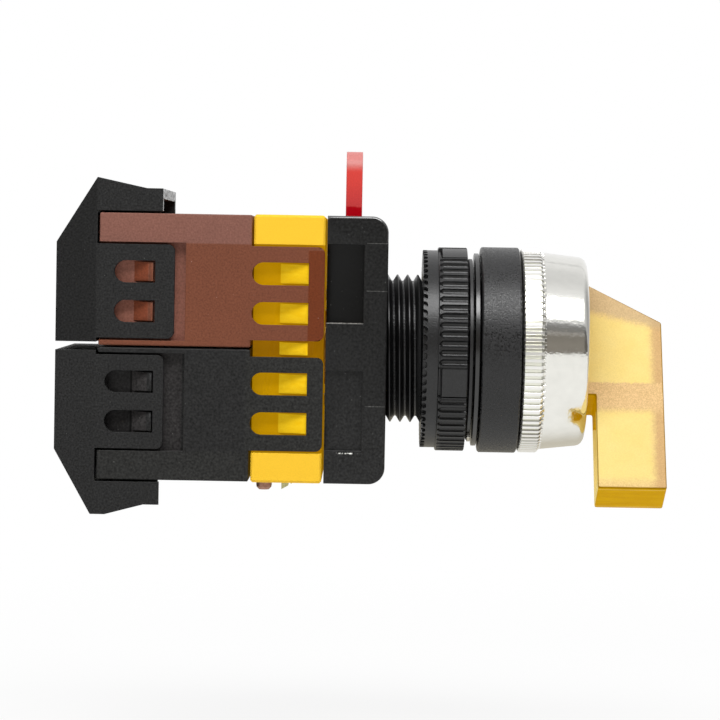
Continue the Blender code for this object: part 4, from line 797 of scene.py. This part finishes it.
def adaptor_tone(finish):
    """Dark grey, paler below with painted light from below. Painted highlights mark the lines where the
    mould's parts met, the upper pocket has painted shade with a painted highlight along its lower edge, and
    there is a scuff.
    """
    x = finish.x
    z = finish.z
    # The pale lines are painted highlights on the fine raised lines.
    highlight_lines = 0
    for height in WITNESS_LINES:
        highlight_lines = highlight_lines + abs(z - height * MM).past(WITNESS_HALF * 1.6, WITNESS_HALF * 0.6)
    # Paler towards the bottom: painted light from below.
    plain = finish.blend(z.past(-2, -14), colour(25, 25, 25), colour(33, 33, 33))
    highlighted = finish.blend(highlight_lines * x.past(-16.0, -15.8) * 0.55, plain, colour(92, 92, 90))
    sunk = abs(finish.y).past(adaptor_side - 0.3, adaptor_side - 0.6)
    pocket = sunk * z.past(3.5, 3.7) * z.past(15.6, 15.4) * x.past(-15.8, -16.0)
    # The upper pocket is painted shade, with a painted highlight along its lower edge.
    black = finish.blend(pocket * z.past(4.0, 3.86), colour(2, 2, 2), colour(130, 128, 124))
    scuff = abs(z - SCUFF_Z).past(0.13, 0.05) * abs(x - SCUFF_X).past(1.3, 1.0)
    scuffed = finish.blend(scuff * finish.noise(0.3 * MM).rise(0.4, 0.55), highlighted, colour(205, 205, 200))
    return finish.blend(pocket, scuffed, black)


def adaptor_gloss(finish):
    """A coat on the rounded edge between the broad sides and the top."""
    out = abs(finish.y)
    rounding = out.past(adaptor_side - 0.02, adaptor_side - 0.06) * out.past(
        adaptor_side - 0.48, adaptor_side - 0.40)
    return {"Coat Weight": rounding * finish.z.past(15.4, 15.9),
            "Coat Roughness": 0.10, "Coat IOR": 2.2}


corner_x = adaptor_high.x - ADAPTOR_CORNER
corner_z = adaptor_high.z - ADAPTOR_CORNER
adaptor_shape = solid_shape("adaptor_housing")
refine_arcs(adaptor_shape, 1, [((corner_x, sign * corner_z), ADAPTOR_CORNER) for sign in (1, -1)])
refine_arcs(adaptor_shape, 0, about_axis(*ADAPTOR_BORES))


def on_outline(vertex):
    """Whether a corner lies where the adaptor's outer outline meets a broad side."""
    if abs(abs(vertex.co.y) - adaptor_high.y) > CLOSE:
        return False
    height = abs(vertex.co.z)
    if vertex.co.x > corner_x and height > corner_z:
        return True
    return vertex.co.x > adaptor_high.x - CLOSE or height > adaptor_high.z - CLOSE


outline_edges = [edge for edge in adaptor_shape.edges
                 if all(on_outline(vertex) for vertex in edge.verts)
                 and edge.calc_face_angle(0) > math.radians(60)
                 and abs(edge.verts[0].co.y - edge.verts[1].co.y) < CLOSE
                 and not all(abs(vertex.co.x - adaptor_low.x) < CLOSE for vertex in edge.verts)]
bmesh.ops.bevel(adaptor_shape, geom=outline_edges, offset=ADAPTOR_FILLET, segments=4, profile=0.5,
                affect="EDGES", clamp_overlap=False)
adaptor_grey = plastic("adaptor_grey", adaptor_tone, 0.36, grain=0.36 * MM, sheen=0.22, cloud=0.18,
                       mottle=3.2, rough_bump=0.02 * MM, speck=colour(130, 130, 126),
                       more=adaptor_gloss)
soften(new_object("adaptor", adaptor_shape, adaptor_grey, "dark_grey_plastic", "adaptor_housing"),
       0.06 * MM)


# The lock ring and its lever are one red moulding, with painted shade at the foot and a painted
# highlight at the thin tip. It turns in the adaptor and frees the bayonet. A steel ring keeps it in.
LEVER_TIP_RADIUS = 2.9 * MM
LEVER_TIP_FLAT = 1.4 * MM
LOCK_RING_RADIUS = 12.3


def red_tone(finish):
    """Painted shade deepens the foot, full red lies above it, and a painted highlight makes the tip pale."""
    z = finish.z + (finish.noise(1.2 * MM) - 0.5) * (0.4 * MM)
    lower = finish.blend(z.past(20.75, 21.05), colour(178, 0, 18), colour(204, 66, 66))
    middle = finish.blend(z.past(21.5, 24.8), lower, colour(212, 70, 64))
    return finish.blend(z.past(25.9, 27.4), middle, colour(197, 124, 120))


red = plastic("red", red_tone, 0.30, sheen=0.12, cloud=0.03, mottle=0.3, rough_bump=0.004 * MM)
tip_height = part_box("lock_lever_ring")[1].z - LEVER_TIP_RADIUS
tip_arcs = [((sign * LEVER_TIP_FLAT / 2, tip_height), LEVER_TIP_RADIUS) for sign in (1, -1)]
lever_shape = solid_shape("lock_lever_ring")
refine_arcs(lever_shape, 0, tip_arcs + about_axis(LOCK_RING_RADIUS))
soften(new_object("red_lever", lever_shape, red, "red_plastic", "lock_lever_ring",
                  body="lock_lever"), 0.10 * MM)
dress("lock_retainer", bright_steel.material)


# The lamp block is a bright yellow moulding between the contact blocks and the adaptor. Its sides
# are let in for the blocks' wings, whose windows snap over its ramped hooks.
LAMP_SIDE = 12.4
PAINTED_GLOW_SHARE = 0.40


def yellow_sides(finish):
    """Where the sides are let in, and their tone there: painted shade on the floors, deeper in the middle,
    and painted light on the hooks.
    """
    out = abs(finish.y)
    x = finish.x
    recessed = out.past(13.75, 13.70)
    hook = out.past(LAMP_SIDE + 0.01, LAMP_SIDE + 0.05)
    shaded_floor_tone = finish.blend(x.past(-24, -22), colour(205, 152, 0), colour(212, 155, 2))
    middle = abs(finish.z).past(2.2, 1.6)
    shaded_floor_tone = finish.blend(middle, shaded_floor_tone, colour(172, 118, 0))
    lit_hook_tone = finish.blend(finish.noise(0.5 * MM, 2.0, (0.2, 1, 1)), colour(222, 172, 4),
                             colour(236, 197, 36))
    return recessed, finish.blend(hook, shaded_floor_tone, lit_hook_tone)


def yellow_tone(finish):
    """Bright on the outside, with painted shade where it is let in."""
    recessed, painted_side_tone = yellow_sides(finish)
    return finish.blend(recessed, colour(237, 189, 52), finish.scale(painted_side_tone, 0.70))


def painted_yellow_glow(finish):
    """A painted glow where the sides are let in, which lifts their shade."""
    recessed, painted_side_tone = yellow_sides(finish)
    painted_glow = finish.blend(recessed, (0, 0, 0), painted_side_tone)
    return {"Emission Color": finish.scale(painted_glow, PAINTED_GLOW_SHARE), "Emission Strength": 1.0,
            "Specular Tint": (1.0, 0.8, 0.3)}


yellow = plastic("yellow", yellow_tone, 0.34, sheen=0.15, cloud=0.02, mottle=0.2,
                 rough_bump=0.005 * MM, more=painted_yellow_glow)
soften(new_object("yellow_lamp_block", solid_shape("lamp_block"), yellow, "yellow_plastic",
                  "lamp_block"), 0.08 * MM)


# The lamp stands in a brass tube with a pin contact. Two bright strips and two bronze screws under
# the block take the lamp's wires. The strips' ends are cut at a slant.
def metal(name, light, dark, roughness):
    finish = Finish(name, {"Metallic": 1.0})
    stain = finish.noise(0.5 * MM, 3.0)
    finish.set({"Base Color": finish.blend(stain, light, dark),
                "Roughness": roughness - 0.05 + 0.15 * stain})
    return finish.material


brass = metal("brass", colour(214, 178, 104), colour(190, 150, 84), 0.28)
bronze = metal("bronze", colour(184, 146, 128), colour(140, 100, 86), 0.32)
silver = metal("silver", colour(208, 206, 160), colour(176, 172, 120), 0.26)
glass = Finish("glass", {"Roughness": 0.08, "Specular IOR Level": 0.6})
glass.set({"Base Color": glass.blend(glass.noise(2 * MM), colour(236, 224, 196),
                                     colour(250, 240, 214))})
dress("lamp_socket", brass)
dress("lamp_centre_contact", brass)
dress("lamp", glass.material)

STRIP_SLANT = 0.55 * MM
for number in (1, 2):
    node = f"lamp_terminal_{number}"
    strip_shape = solid_shape(node)
    low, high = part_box(node)
    for vertex in strip_shape.verts:
        if vertex.co.z < low.z + CLOSE and vertex.co.x > high.x - CLOSE:
            vertex.co.z += STRIP_SLANT
    soften(new_object(f"lamp_strip_{number}", strip_shape, silver, "silver", node), 0.06 * MM)


def slotted_screw(name, node, axis, head_end, material, slot, width, depth, cross=False):
    """A copy of a screw's solid with a driver slot, or a cross, cut into its end."""
    low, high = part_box(node)
    centre = (low + high) / 2
    centre[axis] = head_end
    screw = new_object(name, solid_shape(node), material, slot, node)
    reach = max((high - low)[index] for index in range(3) if index != axis)
    for turn_index in range(2 if cross else 1):
        cutter_shape = bmesh.new()
        size = [width, width, width]
        size[axis] = 2 * depth
        across = [index for index in range(3) if index != axis][turn_index]
        size[across] = reach * (0.62 if cross else 1.2)
        bmesh.ops.create_cube(cutter_shape, size=1, matrix=Matrix.Translation(centre)
                              @ Matrix.Diagonal((*size, 1)))
        cutter_mesh = bpy.data.meshes.new(f"{name}_driver_{turn_index}")
        cutter_shape.to_mesh(cutter_mesh)
        cutter_shape.free()
        cutter = put("driver", cutter_mesh)
        slot_cut = screw.modifiers.new("driver", "BOOLEAN")
        slot_cut.operation = "DIFFERENCE"
        slot_cut.solver = "EXACT"
        slot_cut.object = cutter
        bpy.context.view_layer.update()
        cut_mesh = bpy.data.meshes.new_from_object(
            screw.evaluated_get(bpy.context.evaluated_depsgraph_get()))
        screw.modifiers.clear()
        screw.data = cut_mesh
        bpy.data.objects.remove(cutter, do_unlink=True)
    screw.data.shade_smooth()
    screw.data.set_sharp_from_angle(angle=SMOOTH_ANGLE)
    return soften(screw, 0.05 * MM)


for number in (1, 2):
    slotted_screw(f"lamp_clamp_screw_{number}", f"lamp_screw_{number}", 2,
                  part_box(f"lamp_screw_{number}")[0].z, bronze, "bronze", 0.35 * MM, 0.6 * MM)


# The two contact blocks are like mouldings, brown for the contact that opens and dark grey for the
# one that closes. Their front wings snap over the lamp block and carry the windows.
WING_FRONT = -22.0 * MM
WING_CORNER = 1.0 * MM
WING_WINDOW = (-32.5 * MM, 3.3 * MM)
ROWS = (5.1 * MM, 10.85 * MM)
WING_EDGES = (1.2 * MM, 14.8 * MM)
POCKET_EDGE = (13.6, 13.5)
OUTER_STRIP = (14.9, 15.2)


def brown_tone(finish):
    """Chocolate brown, paler on the outer strip, redder at the wing's tip and on the hooks."""
    x = finish.x
    z = abs(finish.z)
    out = abs(finish.y)
    plain = finish.blend(z.past(*OUTER_STRIP), colour(111, 65, 47), colour(123, 83, 72))
    tip = x.past(-24.5, -24.2) * z.past(14.35, 14.2)
    tipped = finish.blend(tip, plain, colour(103, 49, 24))
    pocket = out.past(*POCKET_EDGE) * x.past(-41, -41.5)
    hook = pocket * out.past(12.52, 12.56)
    floored = finish.blend(pocket, tipped, colour(148, 97, 82))
    return finish.blend(hook, floored, colour(122, 62, 39))


def grey_tone(finish):
    """Dark grey, a shade paler than the caps and paler on the front and the outer strip. In the pocket the
    floor has painted shade and the hook painted light, with a painted dark line of shade where the hook
    starts.
    """
    front = finish.x.past(-33.5, -33.0)
    outer = abs(finish.z).past(*OUTER_STRIP)
    plain = finish.blend(front + outer, colour(36, 36, 36), colour(40, 40, 39))
    x = finish.x
    pocket = abs(finish.y).past(*POCKET_EDGE) * x.past(-42.4, -42.6)
    floor_shade_and_lit_hook = finish.blend(x.past(-49.9, -49.7), colour(33, 32, 32), colour(48, 46, 46))
    hook_gap_shade = finish.blend(abs(x + 49.85 * MM).past(0.20, 0.10), floor_shade_and_lit_hook, colour(6, 5, 5))
    return finish.blend(pocket, plain, hook_gap_shade)


block_finishes = {
    "brown": ("brown_plastic", plastic("brown", brown_tone, 0.46, grain=0.28 * MM, cloud=0.06,
                                       mottle=0.9, speck=colour(196, 160, 150))),
    "black": ("dark_grey_plastic", plastic("block_grey", grey_tone, 0.44, grain=0.34 * MM,
                                           cloud=0.14, mottle=2.4, speck=colour(150, 150, 146))),
}


def arm_arcs(shape, front, window_rear, window_height, sign):
    """Make the round window ends and the front corners of a side arm truly round."""
    ends = [((window_rear + window_height / 2, sign * row), window_height / 2) for row in ROWS]
    corners = [((front - WING_CORNER, sign * row), WING_CORNER)
               for row in (WING_EDGES[0] + WING_CORNER, WING_EDGES[1] - WING_CORNER)]
    refine_arcs(shape, 1, ends + corners)


for name, sign in (("brown", 1), ("black", -1)):
    block_slot, block_material = block_finishes[name]
    housing = solid_shape(f"{name}_housing")
    arm_arcs(housing, WING_FRONT, *WING_WINDOW, sign)
    soften(new_object(f"{name}_block", housing, block_material, block_slot, f"{name}_housing"),
           0.07 * MM)


# The terminal caps are black covers that clip onto the rear of the blocks. Their hoods shield the
# screws, and their side arms snap over the rear hooks. The lower hood ends on a slant, with a
# blunt peak.
HOOD_REACH = 9.1 * MM
HOOD_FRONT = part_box("brown_housing")[0].x + HOOD_REACH
HOOD_START = 16.0 * MM
HOOD_SLANT = 0.075
PEAK_SHIFT = Vector((-0.2, 0, -0.5)) * MM
CAP_GAP = 0.3 * MM
CAP_WINDOW_HEIGHT = 3.2 * MM
CAPS = (("brown", 1, 11.2 * MM, 2.5 * MM), ("black", -1, 9.8 * MM, 1.3 * MM))


def cap_tone(finish):
    """Black, a shade paler on the side arms and the hoods. The lower cap's body is paler than the upper
    one's: painted light from below.
    """
    forward = finish.x.past(-55.2, -54.8)
    # The lower cap is paler than the upper one: painted light from below.
    body = finish.blend(finish.z.past(1.0, -1.0), colour(29, 29, 29), colour(36, 36, 36))
    return finish.blend(forward, body, colour(37, 37, 37))


def cap_roughness(finish):
    """Matt, but glossy on the front face of the hood, and mottled on the upper one."""
    face = finish.x.rise(HOOD_FRONT - 0.12 * MM, HOOD_FRONT - 0.05 * MM)
    z = finish.z
    mottled = 1 - z.past(-1.0, 1.0) * finish.noise(0.7 * MM, 3.0).rise(0.42, 0.60)
    return 0.46 - 0.36 * face * mottled * abs(z).past(16.6, 16.8)


cap_black = plastic("cap_black", cap_tone, cap_roughness, grain=0.28 * MM, cloud=0.14, mottle=2.6,
                    speck=colour(120, 122, 118))


def trim_lower_hood(cover):
    """Set the lower hood's end back towards its far side, and cut its peak off flat."""
    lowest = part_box("black_cap")[0]
    for vertex in cover.verts:
        if vertex.co.x > HOOD_FRONT - CLOSE and vertex.co.z < -HOOD_START:
            vertex.co.x -= HOOD_SLANT * (vertex.co.y - lowest.y)
        if vertex.co.z < lowest.z + CLOSE:
            vertex.co += PEAK_SHIFT
    trimmed = bmesh.ops.bisect_plane(cover, geom=cover.verts[:] + cover.edges[:] + cover.faces[:],
                                     plane_co=(0, 0, lowest.z), plane_no=(0, 0, -1), clear_outer=True)
    rim_edges = [item for item in trimmed["geom_cut"] if isinstance(item, bmesh.types.BMEdge)]
    bmesh.ops.edgeloop_fill(cover, edges=rim_edges)
    bmesh.ops.recalc_face_normals(cover, faces=cover.faces)


for name, sign, arm_length, window_start in CAPS:
    cap_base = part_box(f"{name}_housing")[0].x - CAP_GAP
    cover = solid_shape(f"{name}_cap")
    arm_arcs(cover, cap_base + arm_length, cap_base + window_start, CAP_WINDOW_HEIGHT, sign)
    if name == "black":
        trim_lower_hood(cover)
    soften(new_object(f"{name}_terminal_cover", cover, cap_black, "black_plastic", f"{name}_cap"),
           0.07 * MM)


# In each block a spring holds the plunger and its brass bridge forward. The fixed contacts lead to
# the terminals, where steel screws press square clamps onto the wires.
SPRING_WIRE = 0.25 * MM
SPRING_RADIUS = 2.0 * MM
SPRING_TURNS = 6
SPRING_STEPS = 40
WIRE_SIDES = 10
plated_steel = metal("plated_steel", colour(214, 212, 204), colour(178, 176, 168), 0.26)
spring_steel = metal("spring_steel", colour(170, 170, 168), colour(120, 120, 120), 0.25)


def spring_shape(front, rear, z):
    """A round wire wound about a line along X, its ends cut square."""
    shape = bmesh.new()
    count = SPRING_TURNS * SPRING_STEPS
    rings = []
    for index in range(count + 1):
        angle = math.tau * index / SPRING_STEPS
        x = front + (rear - front) * index / count
        outward = Vector((0, math.cos(angle), math.sin(angle)))
        centre = Vector((x, 0, z)) + outward * SPRING_RADIUS
        ring = []
        for corner in range(WIRE_SIDES):
            swing = math.tau * corner / WIRE_SIDES
            offset = outward * math.cos(swing) + Vector((1, 0, 0)) * math.sin(swing)
            ring.append(shape.verts.new(centre + offset * SPRING_WIRE))
        rings.append(ring)
    for ring, after in zip(rings, rings[1:]):
        for corner in range(WIRE_SIDES):
            other = (corner + 1) % WIRE_SIDES
            shape.faces.new((ring[corner], ring[other], after[other], after[corner]))
    shape.faces.new(rings[0])
    shape.faces.new(rings[-1])
    bmesh.ops.recalc_face_normals(shape, faces=shape.faces)
    return shape


for name in ("brown", "black"):
    low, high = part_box(f"{name}_spring")
    coil = spring_shape(high.x - SPRING_WIRE, low.x + SPRING_WIRE, (low.z + high.z) / 2)
    spring = new_object(f"{name}_coil_spring", coil, spring_steel, "steel", f"{name}_spring")
    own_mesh(spring)
    dress(f"{name}_plunger", nylon)
    dress(f"{name}_bridge", brass)
    for number in (1, 2):
        dress(f"{name}_contact_{number}", brass)
        dress(f"{name}_clamp_{number}", plated_steel)
        slotted_screw(f"{name}_terminal_screw_{number}", f"{name}_screw_{number}", 0,
                      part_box(f"{name}_screw_{number}")[0].x, plated_steel, "steel", 0.7 * MM,
                      0.9 * MM, cross=True)
